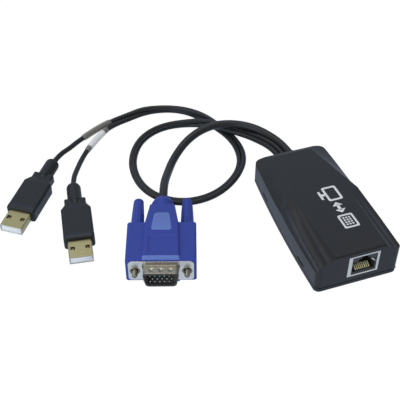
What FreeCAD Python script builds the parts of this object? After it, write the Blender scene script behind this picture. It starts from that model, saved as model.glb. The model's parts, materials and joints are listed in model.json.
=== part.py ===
import FreeCAD, Part
import math
import os
import re

import Sketcher

os.makedirs("parts", exist_ok=True)

from FreeCAD import Placement, Rotation, Vector

# Switch-box dongle: a wedge-shaped moulded housing with a network jack at the front, and at the
# rear one video cable to a blue fifteen-pin plug and two thin cables to a pair of USB plugs.
# Millimetres.  +Z up, jack towards -Y, origin at the middle of the housing's underside.

SIZES = {
    # Housing outline and roof
    "case_length": 85.0,
    "case_half_front": 21.7,
    "case_half_rear": 20.0,
    "side_bow": 1.35,
    "case_corner": 2.9,
    "roof_rear": 15.22,
    "roof_edge": 1.0,
    "tail_slope_run": 2.6,
    "tail_slope_drop": 0.9,
    "wall": 1.8,
    # How far a tool that cuts goes past the piece, and how far joined pieces sink into each other
    "past": 8.0,
    "sink": 1.0,
    # Shoulders and their three flutes, each named rib lying between two of them
    "band_height": 12.75,
    "flute_end": 44.0,
    "flute_sag": 0.65,
    "flute_sag_half": 0.45,
    "flute_sag_end": 0.02,
    "flute_clear": 0.04,
    "flute_spill": 0.06,
    "rib_one_front": 13.2,
    "rib_one_middle": 14.5,
    "rib_two_front": 17.4,
    "rib_two_middle": 16.7,
    "rib_two_drop": 2.75,
    "rib_three_front": 21.6,
    "rib_three_half": 21.3,
    "rib_three_middle": 19.8,
    "rib_three_drop": 4.85,
    "rib_three_drop_half": 3.0,
    "crease_rear": 10.3,
    "shoulder_cut_low": 1.5,
    # Joint between the two shells
    "pan_height": 2.4,
    "seam_gap": 0.5,
    "seam_depth": 0.5,
    "floor_thick": 1.8,
    "lip_thick": 1.2,
    "lip_drop": 0.3,
    "notch_deep": 5.0,
    "shell_fit": 0.15,
    "foot_edge": 0.4,
    # Inside of the cover
    "cavity_height": 10.8,
    "cavity_upper_half": 12.0,
    "cavity_overlap": 0.5,
    # Snap hooks and the slots that show them
    "slot_height": 1.2,
    "slot_rise": 1.8,
    "slot_length": 7.2,
    "slot_front": 25.0,
    "slot_rear": 22.5,
    "hook_play": 0.15,
    "hook_reach": 0.7,
    "hook_edge": 0.3,
    # Circuit board and what holds it
    "board_gap": 0.3,
    "board_front": 3.7,
    "board_rear": 17.8,
    "board_thick": 1.6,
    "board_seat": 4.1,
    "board_corner": 1.5,
    "post_inset": 3.2,
    "post_front": 16.8,
    "post_rear": 8.2,
    "post_radius": 2.4,
    "post_sink": 0.3,
    "cover_post_radius": 2.1,
    "pin_room": 0.6,
    "pin_radius": 1.0,
    "pin_play": 0.12,
    "pin_rise": 1.2,
    "board_play": 0.1,
    # Network jack
    "jack_across": 2.2,
    "jack_width": 16.2,
    "jack_height": 13.46,
    "jack_depth": 15.5,
    "jack_roof": 2.78,
    "jack_sheet": 0.3,
    "jack_fit": 0.2,
    "mouth_left": 1.9,
    "mouth_right": 1.2,
    "mouth_top": 0.8,
    "mouth_base": 1.0,
    "socket_half": 5.9,
    "socket_height": 6.8,
    "socket_floor": 2.3,
    "socket_depth": 12.5,
    "latch_half": 3.1,
    "latch_height": 1.6,
    "latch_key_half": 1.6,
    "latch_key_height": 1.4,
    "latch_overlap": 0.5,
    "contact_pitch": 1.02,
    "contact_width": 0.45,
    "contact_thick": 0.36,
    "contact_rise": 1.5,
    "contact_front": 2.6,
    "contact_rear": 10.6,
    # Grommet at the rear wall
    "gland_half": 6.9,
    "gland_height": 7.4,
    "gland_middle": 7.5,
    "gland_flange": 0.8,
    "gland_flange_thick": 1.4,
    "gland_nose": 4.2,
    "gland_taper": 0.5,
    "gland_fit": 0.1,
    # Cables
    "video_cord": 4.5,
    "usb_cord": 2.8,
    "video_exit": 3.15,
    "usb_exit_near": -0.8,
    "usb_exit_far": -3.9,
    # Video plug, measured from its flange face back along the cable
    "plug_axis": 8.5,
    "hood_half": 17.0,
    "hood_wing": 7.5,
    "hood_length": 26.0,
    "hood_rear_corner": 1.3,
    "hood_edge": 1.2,
    "tail_edge": 0.6,
    "core_half_front": 8.8,
    "core_half_rear": 8.2,
    "core_end": 24.0,
    "core_bevel": 1.6,
    "tail_half": 6.2,
    "tail_high": 5.9,
    "tail_end": 39.2,
    "neck_radius": 5.5,
    "neck_end_radius": 4.7,
    "neck_end": 47.0,
    "panel_half": 6.7,
    "panel_start": 7.5,
    "panel_end": 19.0,
    "panel_depth": 0.3,
    "thumb_pad_front": 4.65,
    "thumb_pad_rear": 2.9,
    "thumb_pad_start": 21.5,
    "thumb_pad_end": 35.0,
    "thumb_pad_rise": 0.35,
    "flange_half": 15.7,
    "flange_height": 12.5,
    "flange_thick": 0.8,
    "flange_corner": 1.6,
    "shell_half": 8.45,
    "shell_height": 8.2,
    "shell_slope": 1.45,
    "shell_corner": 1.7,
    "shell_reach": 6.0,
    "shell_sheet": 0.4,
    "insert_play": 0.05,
    "insert_front": 0.8,
    "insert_rear": 7.5,
    "pin_pitch": 2.29,
    "row_pitch": 1.98,
    "plug_pin": 0.38,
    "plug_pin_tip": 0.15,
    "plug_pin_hole": 0.42,
    "plug_pin_front": 5.3,
    "plug_pin_rear": 9.5,
    # Thumbscrews
    "screw_across": 12.5,
    "screw_radius": 1.42,
    "screw_core": 1.15,
    "thread_back": 0.2,
    "screw_tip": 3.6,
    "screw_hole": 1.75,
    "screw_point": 0.4,
    "grip_radius": 3.4,
    "grip_radius_end": 2.6,
    "grip_start": 26.3,
    "grip_end": 48.5,
    "grip_step": 1.5,
    "grip_dome": 1.6,
    "grip_tip": 0.9,
    "grip_bow": 0.46,
    "grip_bore": 11.0,
    # USB plugs, measured from the front of the moulded body
    "usb_axis": 4.0,
    "usb_body_half": 7.75,
    "usb_body_high": 3.95,
    "usb_body_straight": 21.8,
    "usb_body_end": 25.2,
    "usb_shoulder_half": 6.1,
    "usb_shoulder_high": 3.2,
    "usb_body_edge": 1.5,
    "usb_front_edge": 0.9,
    "usb_neck_half": 5.6,
    "usb_neck_high": 2.8,
    "usb_neck_end": 29.8,
    "usb_neck_edge": 1.0,
    "usb_boot_radius": 3.8,
    "usb_boot_end": 42.6,
    "usb_boot_round": 2.8,
    "usb_boot_mouth": 2.0,
    "usb_boot_bow": 0.48,
    "usb_shell_half": 6.0,
    "usb_shell_high": 2.25,
    "usb_shell_reach": 11.5,
    "usb_shell_sheet": 0.3,
    "usb_shell_corner": 0.6,
    "usb_shell_seat": 6.0,
    "usb_window": 2.2,
    "usb_window_across": 3.7,
    "usb_window_ahead": 5.2,
    "usb_tongue_thick": 1.84,
    "usb_tongue_inset": 0.15,
    "usb_tongue_back": 0.3,
    "usb_contact_width": 1.1,
    "usb_contact_thick": 0.12,
    "usb_contact_length": 7.2,
    "usb_contact_inset": 0.9,
    "usb_contact_inner": 1.0,
    "usb_contact_outer": 3.5,
    # Sleeves on the two USB branches
    "sleeve_play": 0.1,
    "sleeve_wall": 0.4,
    "label_wall": 0.3,
    # Parts on the board
    "chip_side": 14.0,
    "chip_thick": 1.4,
    "lead_pitch": 1.6,
    "lead_reach": 1.0,
    "lead_width": 0.7,
    "lead_thick": 0.35,
    "memory_long": 9.9,
    "memory_wide": 6.0,
    "memory_share": 0.32,
    "chip_share": 0.41,
    "memory_across": 6.0,
    "crystal_long": 11.0,
    "crystal_wide": 4.6,
    "crystal_high": 3.6,
    "crystal_across": 6.0,
    "crystal_flat": 0.05,
    "capacitor_radius": 2.5,
    "capacitor_room": 0.5,
    "header_deep": 4.8,
    "header_high": 5.0,
    "header_back": 4.7,
    "video_header_long": 9.6,
    "usb_header_long": 7.2,
    "video_header_aside": 1.2,
    "usb_header_aside": 2.6,
    "wire_radius": 0.5,
    "wire_pitch": 1.15,
}

JACK_CONTACT_COUNT = 8
CHIP_SIDE_LEAD_COUNT = 8
VIDEO_WIRE_COUNT = 7
USB_WIRE_COUNT = 5
CAPACITORS_FROM_CHIP = ((-11.5, -6.0), (-11.5, 2.5), (11.5, -5.5))

# Where each plug lies on the table: the front of its body or flange, and its turn about Z
VIDEO_PLUG_AT = (-89.11, -12.13)
VIDEO_PLUG_TURN = -18.25
RIGHT_USB_AT = (-121.11, 22.57)
RIGHT_USB_TURN = -8.5
LEFT_USB_AT = (-145.32, 52.13)
LEFT_USB_TURN = -35.4

# Routes of the cables, from the grommet to the plug, laid on the table in one loop
VIDEO_ROUTE = [
    (3.1, 46.7, 7.5), (3.1, 53.0, 7.5), (1.4, 60.2, 7.9), (-2.9, 67.3, 8.5), (-8.7, 73.65, 9.2),
    (-15.9, 78.9, 9.4), (-23.4, 81.8, 9.3), (-30.4, 82.8, 8.9), (-38.9, 82.2, 7.0),
    (-47.0, 79.4, 4.2), (-53.8, 74.0, 2.5), (-59.7, 66.6, 2.4), (-64.5, 58.2, 3.6),
    (-68.4, 49.8, 6.6), (-71.57, 41.06, 8.5), (-74.39, 32.51, 8.5),
]
LEFT_ROUTE = [
    (-0.8, 46.7, 7.5), (-0.8, 52.8, 7.5), (-2.81, 60.01, 6.97), (-6.48, 66.59, 6.3),
    (-10.79, 73.28, 5.58), (-15.94, 80.11, 5.08), (-23.1, 87.46, 5.17), (-32.01, 93.26, 5.62),
    (-41.97, 96.61, 4.82), (-51.82, 98.26, 4.42), (-61.23, 96.72, 4.45), (-69.87, 91.78, 4.46),
    (-76.41, 83.89, 4.38), (-80.89, 74.42, 4.2), (-82.51, 64.21, 3.95), (-81.43, 53.73, 3.69),
    (-76.91, 44.48, 3.47), (-69.47, 37.41, 3.35), (-60.61, 33.81, 3.34), (-51.35, 33.4, 3.4),
    (-42.49, 35.74, 3.52), (-34.44, 40.36, 3.69), (-27.33, 46.76, 3.75), (-22.0, 54.43, 3.48),
    (-18.87, 63.12, 2.59), (-17.9, 72.65, 1.5), (-19.46, 82.43, 1.5), (-23.6, 91.88, 2.43),
    (-29.13, 99.78, 4.05), (-35.99, 106.46, 4.48), (-43.57, 111.67, 4.36), (-52.26, 114.98, 4.47),
    (-61.46, 116.88, 4.29), (-70.62, 116.44, 2.81), (-79.5, 114.6, 2.2), (-88.2, 111.6, 2.0),
    (-96.7, 107.4, 2.0), (-104.3, 102.6, 2.1), (-110.8, 97.8, 3.0), (-116.58, 92.56, 4.0),
    (-120.64, 86.85, 4.0),
]
RIGHT_ROUTE = [
    (-3.8, 46.7, 7.5), (-3.8, 52.8, 7.5), (-5.59, 58.79, 6.43), (-8.92, 65.01, 5.3),
    (-13.21, 71.52, 4.82), (-18.26, 78.09, 4.92), (-25.1, 85.14, 4.83), (-32.79, 91.54, 3.18),
    (-41.63, 96.99, 1.78), (-51.78, 98.94, 1.58), (-61.37, 97.08, 1.55), (-69.73, 91.62, 1.54),
    (-75.59, 83.41, 1.62), (-79.31, 73.98, 1.8), (-80.29, 64.19, 2.05), (-78.97, 54.47, 2.31),
    (-74.69, 46.12, 2.53), (-67.93, 39.79, 2.65), (-59.99, 36.59, 2.66), (-51.65, 36.2, 2.6),
    (-43.51, 38.26, 2.48), (-35.96, 42.44, 2.31), (-29.27, 48.44, 2.05), (-24.4, 55.57, 1.92),
    (-21.73, 63.68, 1.61), (-20.9, 72.55, 1.5), (-22.34, 81.57, 1.5), (-26.4, 90.52, 1.5),
    (-30.47, 99.02, 1.5), (-35.81, 106.74, 1.5), (-43.23, 112.33, 1.54), (-52.14, 115.42, 1.5),
    (-61.34, 115.52, 1.5), (-70.18, 113.56, 1.79), (-79.6, 110.2, 1.7), (-88.0, 106.0, 1.9),
    (-95.4, 100.4, 1.9), (-101.9, 93.8, 1.8), (-107.6, 86.2, 2.1), (-111.6, 78.6, 3.3),
    (-113.78, 71.62, 4.0), (-114.81, 64.7, 4.0),
]
# Each sleeve covers a stretch between two places, each a point of the route and a share of the
# run that follows it
LEFT_SLEEVE_SPAN = ((34, 0.35), (36, 0.55))
RIGHT_SLEEVE_SPAN = ((35, 0.2), (36, 0.75))
ARC_SHARE = 0.45

doc = FreeCAD.newDocument("switch_dongle")
sheet = doc.addObject("Spreadsheet::Sheet", "Sizes")
for row, (alias, number) in enumerate(SIZES.items(), start=1):
    cell = "A%d" % row
    sheet.set(cell, str(number))
    sheet.setAlias(cell, alias)
doc.recompute()

PARTS = {}


def linked(expression):
    """The expression with each size's name pointing at its cell."""
    def link(match):
        word = match.group()
        return "Sizes." + word if word in SIZES else word
    return re.sub(r"[a-z_]+", link, str(expression))


def mm(expression):
    """The number that an expression in the sizes has now."""
    found = sheet.evalExpression(linked(expression))
    return float(getattr(found, "Value", found))


def bind(thing, property_name, expression):
    thing.setExpression(property_name, linked(expression))


def new_body(label, at=(0, 0), turn=0):
    body = doc.addObject("PartDesign::Body", label)
    body.Label = label
    body.Placement = Placement(Vector(at[0], at[1], 0), Rotation(Vector(0, 0, 1), turn))
    PARTS[label] = body
    return body


def new_sketch(body, plane, offset="0"):
    """A sketch on one of the body's own planes, moved by offset along the plane's normal."""
    sketch = body.newObject("Sketcher::SketchObject", "Sketch")
    origin_plane = [f for f in body.Origin.OriginFeatures if f.Role == plane + "_Plane"][0]
    sketch.AttachmentSupport = [(origin_plane, "")]
    sketch.MapMode = "FlatFace"
    bind(sketch, "AttachmentOffset.Base.z", offset)
    return sketch


def fix_point(sketch, geometry, end, x, y):
    for kind, expression in (("DistanceX", x), ("DistanceY", y)):
        index = sketch.addConstraint(Sketcher.Constraint(kind, -1, 1, geometry, end, mm(expression)))
        bind(sketch, "Constraints[%d]" % index, expression)


def add_outline(sketch, points, bows=None, half_round=False):
    """Closed anticlockwise outline through points; bows gives the outward rise of curved sides.
    With half_round each curved side is an upright half circle, held by its middle."""
    bows = bows or {}
    count = len(points)
    at = [Vector(mm(x), mm(y), 0) for x, y in points]
    first = sketch.GeometryCount
    for side in range(count):
        near, far = at[side], at[(side + 1) % count]
        if side in bows:
            outward = Vector(far.y - near.y, near.x - far.x, 0).normalize()
            middle = (near + far) * 0.5 + outward * mm(bows[side])
            sketch.addGeometry(Part.Arc(near, middle, far), False)
        else:
            sketch.addGeometry(Part.LineSegment(near, far), False)
    for side in range(count):
        following = first + (side + 1) % count
        sketch.addConstraint(Sketcher.Constraint("Coincident", first + side, 2, following, 1))
    for side, (x, y) in enumerate(points):
        fix_point(sketch, first + side, 1, x, y)
    for side, rise in bows.items():
        (ax, ay), (bx, by) = points[side], points[(side + 1) % count]
        if half_round:
            centre = Sketcher.Constraint("DistanceX", -1, 1, first + side, 3, mm(ax))
            bind(sketch, "Constraints[%d]" % sketch.addConstraint(centre), ax)
            continue
        radius = "(((%s) - (%s))^2 + ((%s) - (%s))^2) / (8 * (%s)) + (%s) / 2" % (
            ax, bx, ay, by, rise, rise)
        index = sketch.addConstraint(Sketcher.Constraint("Radius", first + side, mm(radius)))
        bind(sketch, "Constraints[%d]" % index, radius)


def add_circle(sketch, x, y, radius):
    index = sketch.addGeometry(Part.Circle(Vector(mm(x), mm(y), 0), Vector(0, 0, 1), mm(radius)), False)
    fix_point(sketch, index, 3, x, y)
    size = sketch.addConstraint(Sketcher.Constraint("Radius", index, mm(radius)))
    bind(sketch, "Constraints[%d]" % size, radius)


def pad(body, sketch, length, backwards=False, symmetric=False):
    feature = body.newObject("PartDesign::Pad", "Pad")
    return finish_extrusion(body, feature, sketch, length, backwards, symmetric)


def pocket(body, sketch, length, backwards=False, symmetric=False):
    feature = body.newObject("PartDesign::Pocket", "Pocket")
    return finish_extrusion(body, feature, sketch, length, backwards, symmetric)


def finish_extrusion(body, feature, sketch, length, backwards, symmetric):
    feature.Profile = sketch
    bind(feature, "Length", length)
    feature.Reversed = backwards
    if symmetric:
        feature.SideType = "Symmetric"
    body.Tip = feature
    return feature


def block(body, plane, points, start, length, cut=False, bows=None, backwards=False,
          symmetric=False, half_round=False):
    """Pad or pocket of one outline drawn on a plane moved by start."""
    sketch = new_sketch(body, plane, start)
    add_outline(sketch, points, bows, half_round)
    make = pocket if cut else pad
    return make(body, sketch, length, backwards, symmetric)


def rods(body, plane, places, radius, start, length, cut=False, backwards=False):
    """Pad or pocket of equal circles drawn on a plane moved by start."""
    sketch = new_sketch(body, plane, start)
    for x, y in places:
        add_circle(sketch, x, y, radius)
    make = pocket if cut else pad
    return make(body, sketch, length, backwards)


def loft(body, sketches, cut=False):
    kind = "SubtractiveLoft" if cut else "AdditiveLoft"
    feature = body.newObject("PartDesign::" + kind, "Loft")
    feature.Profile = sketches[0]
    feature.Sections = sketches[1:]
    feature.Ruled = True
    body.Tip = feature
    return feature


def turned(body, points, height="0", bows=None):
    """Solid of revolution about the length axis, of an outline drawn on a level plane."""
    sketch = new_sketch(body, "XY", height)
    add_outline(sketch, points, bows)
    feature = body.newObject("PartDesign::Revolution", "Revolution")
    feature.Profile = sketch
    feature.ReferenceAxis = (sketch, ["V_Axis"])
    feature.Angle = 360
    body.Tip = feature
    return feature


def round_edges(body, chosen, radius, kind="Fillet"):
    """Fillet or chamfer of the edges of the body's last feature for which chosen(edge) holds."""
    doc.recompute()
    base = body.Tip
    names = ["Edge%d" % (k + 1) for k, edge in enumerate(base.Shape.Edges) if chosen(edge)]
    if not names:
        raise ValueError("no edge to round on " + body.Label)
    feature = body.newObject("PartDesign::" + kind, kind)
    feature.Base = (base, names)
    bind(feature, "Radius" if kind == "Fillet" else "Size", radius)
    body.Tip = feature
    return feature


def rectangle(half, low, high):
    """Corners of a rectangle about the second axis, anticlockwise."""
    return [("-(%s)" % half, low), (half, low), (half, high), ("-(%s)" % half, high)]


def along(edge, axis):
    """True for a straight edge that runs along one axis."""
    if not isinstance(edge.Curve, (Part.Line, Part.LineSegment)):
        return False
    reach = edge.Vertexes[-1].Point - edge.Vertexes[0].Point
    return reach.cross(axis).Length < 1e-4 * reach.Length


X, Y, Z = Vector(1, 0, 0), Vector(0, 1, 0), Vector(0, 0, 1)
SEAM = "(pan_height + seam_gap)"
BOARD_TOP = "(board_seat + board_thick)"
JACK_TOP = "(board_seat + board_thick + jack_height)"
ROOF_FRONT = "(board_seat + board_thick + jack_height + jack_roof)"
LIP_TOP = "(board_seat + board_thick - lip_drop)"
SOCKET_MIDDLE = "(jack_across + (mouth_left - mouth_right) / 2)"
LIP_INSET = "(wall + shell_fit + lip_thick)"
BOARD_LENGTH = "(case_length - board_front - board_rear)"
JACK_REAR = "(jack_depth - case_length / 2)"
HEADER_PLACE = "(case_length / 2 - board_rear - header_back)"


def roof(place):
    """Height of the roof at a distance from the front face."""
    return "(%s - (%s - roof_rear) * (%s) / case_length)" % (ROOF_FRONT, ROOF_FRONT, place)


def case_half(y):
    """Half width of the housing at a y in its own frame; the sides bow gently outwards."""
    share = "((%s) / (case_length / 2))" % y
    return ("((case_half_front + case_half_rear) / 2 - (case_half_front - case_half_rear) / 2 * %s"
            " + side_bow * (1 - %s^2))" % (share, share))


def plan(inset):
    """Outline of the housing seen from above, drawn in by inset, and its two bowed sides."""
    front, rear = "case_half_front - (%s)" % inset, "case_half_rear - (%s)" % inset
    near, far = "-(case_length / 2 - (%s))" % inset, "case_length / 2 - (%s)" % inset
    points = [("-(%s)" % front, near), (front, near), (rear, far), ("-(%s)" % rear, far)]
    return points, {1: "side_bow", 3: "side_bow"}


def plan_block(body, inset, start, length, cut=False):
    points, bows = plan(inset)
    return block(body, "XY", points, start, length, cut, bows, backwards=cut)


def shoulder_section(body, place, ribs, sag):
    """Section of what is cut from one shoulder; ribs are the four points down the side."""
    sketch = new_sketch(body, "XZ", "case_length / 2 - (%s)" % place)
    outer_x, outer_z = "case_half_front + past", ROOF_FRONT + " + past"
    points = [(outer_x, "band_height - shoulder_cut_low")]
    points += [(outer_x, outer_z), (ribs[0][0], outer_z)] + list(ribs)
    add_outline(sketch, points, {3: sag, 4: sag, 5: sag})
    return sketch


def flute_foot(place, low_x, low_z):
    """Foot of the lowest flute, carried a little past the side wall along the same slope."""
    wall_x = case_half("%s - case_length / 2" % place)
    foot_x = "%s + flute_spill + flute_spill * (%s - (%s))" % (wall_x, wall_x, low_x)
    foot_z = "band_height - flute_spill * ((%s) - band_height)" % low_z
    return (foot_x, foot_z)


def top_cover():
    """Wedge cover: bowed plan, sloping roof, and shoulders with three flutes that fade out."""
    body = new_body("top_cover")
    plan_block(body, "0", SEAM, "%s + sink - %s" % (ROOF_FRONT, SEAM))
    round_edges(body, lambda edge: along(edge, Z), "case_corner")
    slope_start = "case_length - tail_slope_run"
    above = ROOF_FRONT + " + past"
    block(body, "YZ", [
        ("-case_length / 2 - past", roof("-past")),
        ("case_length / 2 - tail_slope_run", roof(slope_start)),
        ("case_length / 2 + past", "roof_rear - tail_slope_drop * (1 + past / tail_slope_run)"),
        ("case_length / 2 + past", above), ("-case_length / 2 - past", above),
    ], "0", "2 * (case_half_front + past)", cut=True, symmetric=True)
    end_face = mm("case_length / 2")
    low_edge = mm("roof_rear - tail_slope_drop") - 0.1

    def roof_rim(edge):
        middle = edge.BoundBox.Center
        return along(edge, X) and abs(abs(middle.y) - end_face) < 0.01 and middle.z > low_edge

    sections = [
        shoulder_section(body, "-1", *front_ribs()),
        shoulder_section(body, "flute_end / 2", *half_way_ribs()),
        shoulder_section(body, "flute_end", *faded_ribs(
            "flute_end", "rib_one_middle", "rib_two_middle", "rib_three_middle")),
        shoulder_section(body, "case_length + 1", *faded_ribs(
            "case_length + 1", "crease_rear / 3", "crease_rear * 2 / 3", "crease_rear")),
    ]
    shoulder = loft(body, sections, cut=True)
    other = body.newObject("PartDesign::Mirrored", "Mirrored")
    other.Originals = [shoulder]
    other.MirrorPlane = ([f for f in body.Origin.OriginFeatures if f.Role == "YZ_Plane"][0], [""])
    body.Tip = other
    round_edges(body, roof_rim, "roof_edge")
    cut_cover_inside(body)
    cut_cover_openings(body)
    add_cover_posts(body)


def front_ribs():
    place = "-1"
    low_z = "%s - rib_three_drop" % roof(place)
    ribs = [("rib_one_front", roof(place)),
            ("rib_two_front", "%s - rib_two_drop" % roof(place)),
            ("rib_three_front", low_z),
            flute_foot(place, "rib_three_front", low_z)]
    return ribs, "flute_sag"


def half_way_ribs():
    place = "flute_end / 2"
    low_z = "%s - rib_three_drop_half" % roof(place)
    ribs = [("(rib_one_front + rib_one_middle) / 2", roof(place)),
            ("(rib_two_front + rib_two_middle) / 2", "%s - rib_two_drop / 2" % roof(place)),
            ("rib_three_half", low_z),
            flute_foot(place, "rib_three_half", low_z)]
    return ribs, "flute_sag_half"


def faded_ribs(place, one, two, three):
    """Where the flutes have run out, the ribs lie on the roof and one flat facet is left."""
    level = "%s + flute_clear" % roof(place)
    ribs = [(one, level), (two, level), (three, level), flute_foot(place, three, level)]
    return ribs, "flute_sag_end"


def cut_cover_inside(body):
    """Room under the roof: the full plan below, and a narrower box that follows the slope."""
    plan_block(body, "wall", SEAM, "cavity_height - %s" % SEAM, cut=True)
    near, far = "-case_length / 2 + wall", "case_length / 2 - wall"
    base = "cavity_height - cavity_overlap"
    block(body, "YZ", [
        (near, base), (far, base),
        (far, "%s - wall" % roof("case_length - wall")), (near, "%s - wall" % roof("wall")),
    ], "0", "2 * cavity_upper_half", cut=True, symmetric=True)


def cut_cover_openings(body):
    left = "jack_across - jack_width / 2 - jack_fit"
    right = "jack_across + jack_width / 2 + jack_fit"
    low, high = "%s - jack_fit / 2" % BOARD_TOP, "%s + jack_fit" % JACK_TOP
    block(body, "XZ", [(left, low), (right, low), (right, high), (left, high)],
          "case_length / 2", "jack_depth + jack_fit", cut=True)
    sketch = new_sketch(body, "YZ")
    for middle in ("-slot_front", "slot_rear"):
        add_outline(sketch, slot_outline(middle, "0"))
    pocket(body, sketch, "2 * (case_half_front + past)", symmetric=True)
    points, bows = obround("gland_half", "gland_height")
    block(body, "XZ", points, "-(case_length / 2 + sink)", "wall + 2 * sink", cut=True, bows=bows,
          backwards=True, half_round=True)


def slot_outline(middle, play):
    """Snap slot in a side wall, drawn in by play."""
    near = "%s - slot_length / 2 + %s" % (middle, play)
    far = "%s + slot_length / 2 - %s" % (middle, play)
    low = "%s + slot_rise - slot_height / 2 + %s" % (SEAM, play)
    high = "%s + slot_rise + slot_height / 2 - %s" % (SEAM, play)
    return [(near, low), (far, low), (far, high), (near, high)]


def obround(half, height):
    """Flat-sided oval of the cable hole about the grommet's middle."""
    straight = "(%s) - (%s) / 2" % (half, height)
    low = "gland_middle - (%s) / 2" % height
    high = "gland_middle + (%s) / 2" % height
    points = [("-(%s)" % straight, low), (straight, low), (straight, high),
              ("-(%s)" % straight, high)]
    return points, {1: "(%s) / 2" % height, 3: "(%s) / 2" % height}


def board_half():
    """Half width of the circuit board, inside the lip at both of its ends."""
    ends = [case_half("-case_length / 2 + board_front"),
            case_half("case_length / 2 - board_rear")]
    return "(min(%s; %s) - %s - board_gap)" % (ends[0], ends[1], LIP_INSET)


def post_places():
    across = "(%s - post_inset)" % board_half()
    places = ("board_front + post_front - case_length / 2", "case_length / 2 - board_rear - post_rear")
    return [("%s%s" % (sign, across), y) for sign in ("-", "") for y in places]


def add_cover_posts(body):
    """Four hollow posts under the roof that hold the board down on its pins."""
    rods(body, "XY", post_places(), "cover_post_radius", BOARD_TOP + " + board_play",
         "cavity_height + post_sink - %s - board_play" % BOARD_TOP)
    rods(body, "XY", post_places(), "pin_radius + pin_play", BOARD_TOP, "pin_rise + pin_room",
         cut=True, backwards=True)


def bottom_cover():
    """Shallow pan with an inset seam, a lip inside the cover, snap hooks and board posts."""
    body = new_body("bottom_cover")
    plan_block(body, "0", "0", "pan_height")
    round_edges(body, lambda edge: along(edge, Z), "case_corner")
    round_edges(body, lambda edge: edge.BoundBox.ZMax < 0.01, "foot_edge", "Chamfer")
    plan_block(body, "seam_depth", "pan_height", "seam_gap")
    plan_block(body, "wall + shell_fit", SEAM, "%s - %s" % (LIP_TOP, SEAM))
    plan_block(body, LIP_INSET, "floor_thick", "%s + sink - floor_thick" % LIP_TOP, cut=True)
    notch = rectangle("gland_half + gland_flange + jack_fit", "case_length / 2 - wall - notch_deep",
                      "case_length / 2 - wall")
    block(body, "XY", notch, SEAM, "%s - %s + sink" % (LIP_TOP, SEAM), cut=True, backwards=True)
    for side in (1, -1):
        for middle in ("-slot_front", "slot_rear"):
            snap_hook(body, side, middle)
    rods(body, "XY", post_places(), "post_radius", "floor_thick - post_sink",
         "board_seat - floor_thick + post_sink")
    rods(body, "XY", post_places(), "pin_radius", "floor_thick",
         "%s + pin_rise - floor_thick" % BOARD_TOP)


def snap_hook(body, side, middle):
    """Ramped hook on the outside of the lip that reaches into its slot."""
    wall_x = case_half(middle)
    root = "%s - wall - shell_fit - lip_thick / 2" % wall_x
    face = "%s - wall - shell_fit" % wall_x
    tip = "%s - wall + hook_reach" % wall_x
    low = "%s + slot_rise - slot_height / 2 + hook_play" % SEAM
    high = "%s + slot_rise + slot_height / 2 - hook_play" % SEAM
    points = [(root, low), (tip, low), (tip, "%s + hook_edge" % low), (face, high), (root, high)]
    if side < 0:
        points = [("-(%s)" % x, z) for x, z in reversed(points)]
    block(body, "XZ", points, "-(%s) - slot_length / 2 + hook_play" % middle,
          "slot_length - 2 * hook_play")


def circuit_board():
    body = new_body("circuit_board")
    near = "-case_length / 2 + board_front"
    block(body, "XY", rectangle(board_half(), near, "case_length / 2 - board_rear"), "board_seat",
          "board_thick")
    round_edges(body, lambda edge: along(edge, Z), "board_corner")
    rods(body, "XY", post_places(), "pin_radius + pin_play", "board_seat", "board_thick", cut=True,
         backwards=True)


def jack_pieces():
    """Network jack, latch side up, flush with the front face."""
    near = "-case_length / 2"
    left, right = "jack_across - jack_width / 2", "jack_across + jack_width / 2"
    shield = new_body("jack_shield")
    block(shield, "XZ", [(left, BOARD_TOP), (right, BOARD_TOP), (right, JACK_TOP), (left, JACK_TOP)],
          "case_length / 2 - jack_depth", "jack_depth")
    block(shield, "XY", [
        (left + " + jack_sheet", near + " + jack_sheet"),
        (right + " - jack_sheet", near + " + jack_sheet"),
        (right + " - jack_sheet", near + " + jack_depth - jack_sheet"),
        (left + " + jack_sheet", near + " + jack_depth - jack_sheet"),
    ], BOARD_TOP, "jack_height - jack_sheet", cut=True, backwards=True)
    mouth = [(left + " + mouth_left", BOARD_TOP + " + mouth_base"),
             (right + " - mouth_right", BOARD_TOP + " + mouth_base"),
             (right + " - mouth_right", JACK_TOP + " - mouth_top"),
             (left + " + mouth_left", JACK_TOP + " - mouth_top")]
    block(shield, "XZ", mouth, "case_length / 2", "jack_sheet * 2", cut=True)

    housing = new_body("jack_housing")
    inner = "(jack_sheet + insert_play)"
    block(housing, "XZ", [
        (left + " + " + inner, BOARD_TOP), (right + " - " + inner, BOARD_TOP),
        (right + " - " + inner, JACK_TOP + " - " + inner), (left + " + " + inner, JACK_TOP + " - " + inner),
    ], "case_length / 2 - jack_depth + " + inner, "jack_depth - 2 * " + inner)
    floor = BOARD_TOP + " + socket_floor"
    ceiling = floor + " + socket_height"
    steps = [("socket_half", floor, ceiling),
             ("latch_half", ceiling + " - latch_overlap", ceiling + " + latch_height"),
             ("latch_key_half", ceiling + " + latch_height - latch_overlap",
              ceiling + " + latch_height + latch_key_height")]
    for half, low, high in steps:
        points = [(SOCKET_MIDDLE + " - " + half, low), (SOCKET_MIDDLE + " + " + half, low),
                  (SOCKET_MIDDLE + " + " + half, high), (SOCKET_MIDDLE + " - " + half, high)]
        block(housing, "XZ", points, "case_length / 2", "socket_depth", cut=True)
    jack_contacts(floor)


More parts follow.
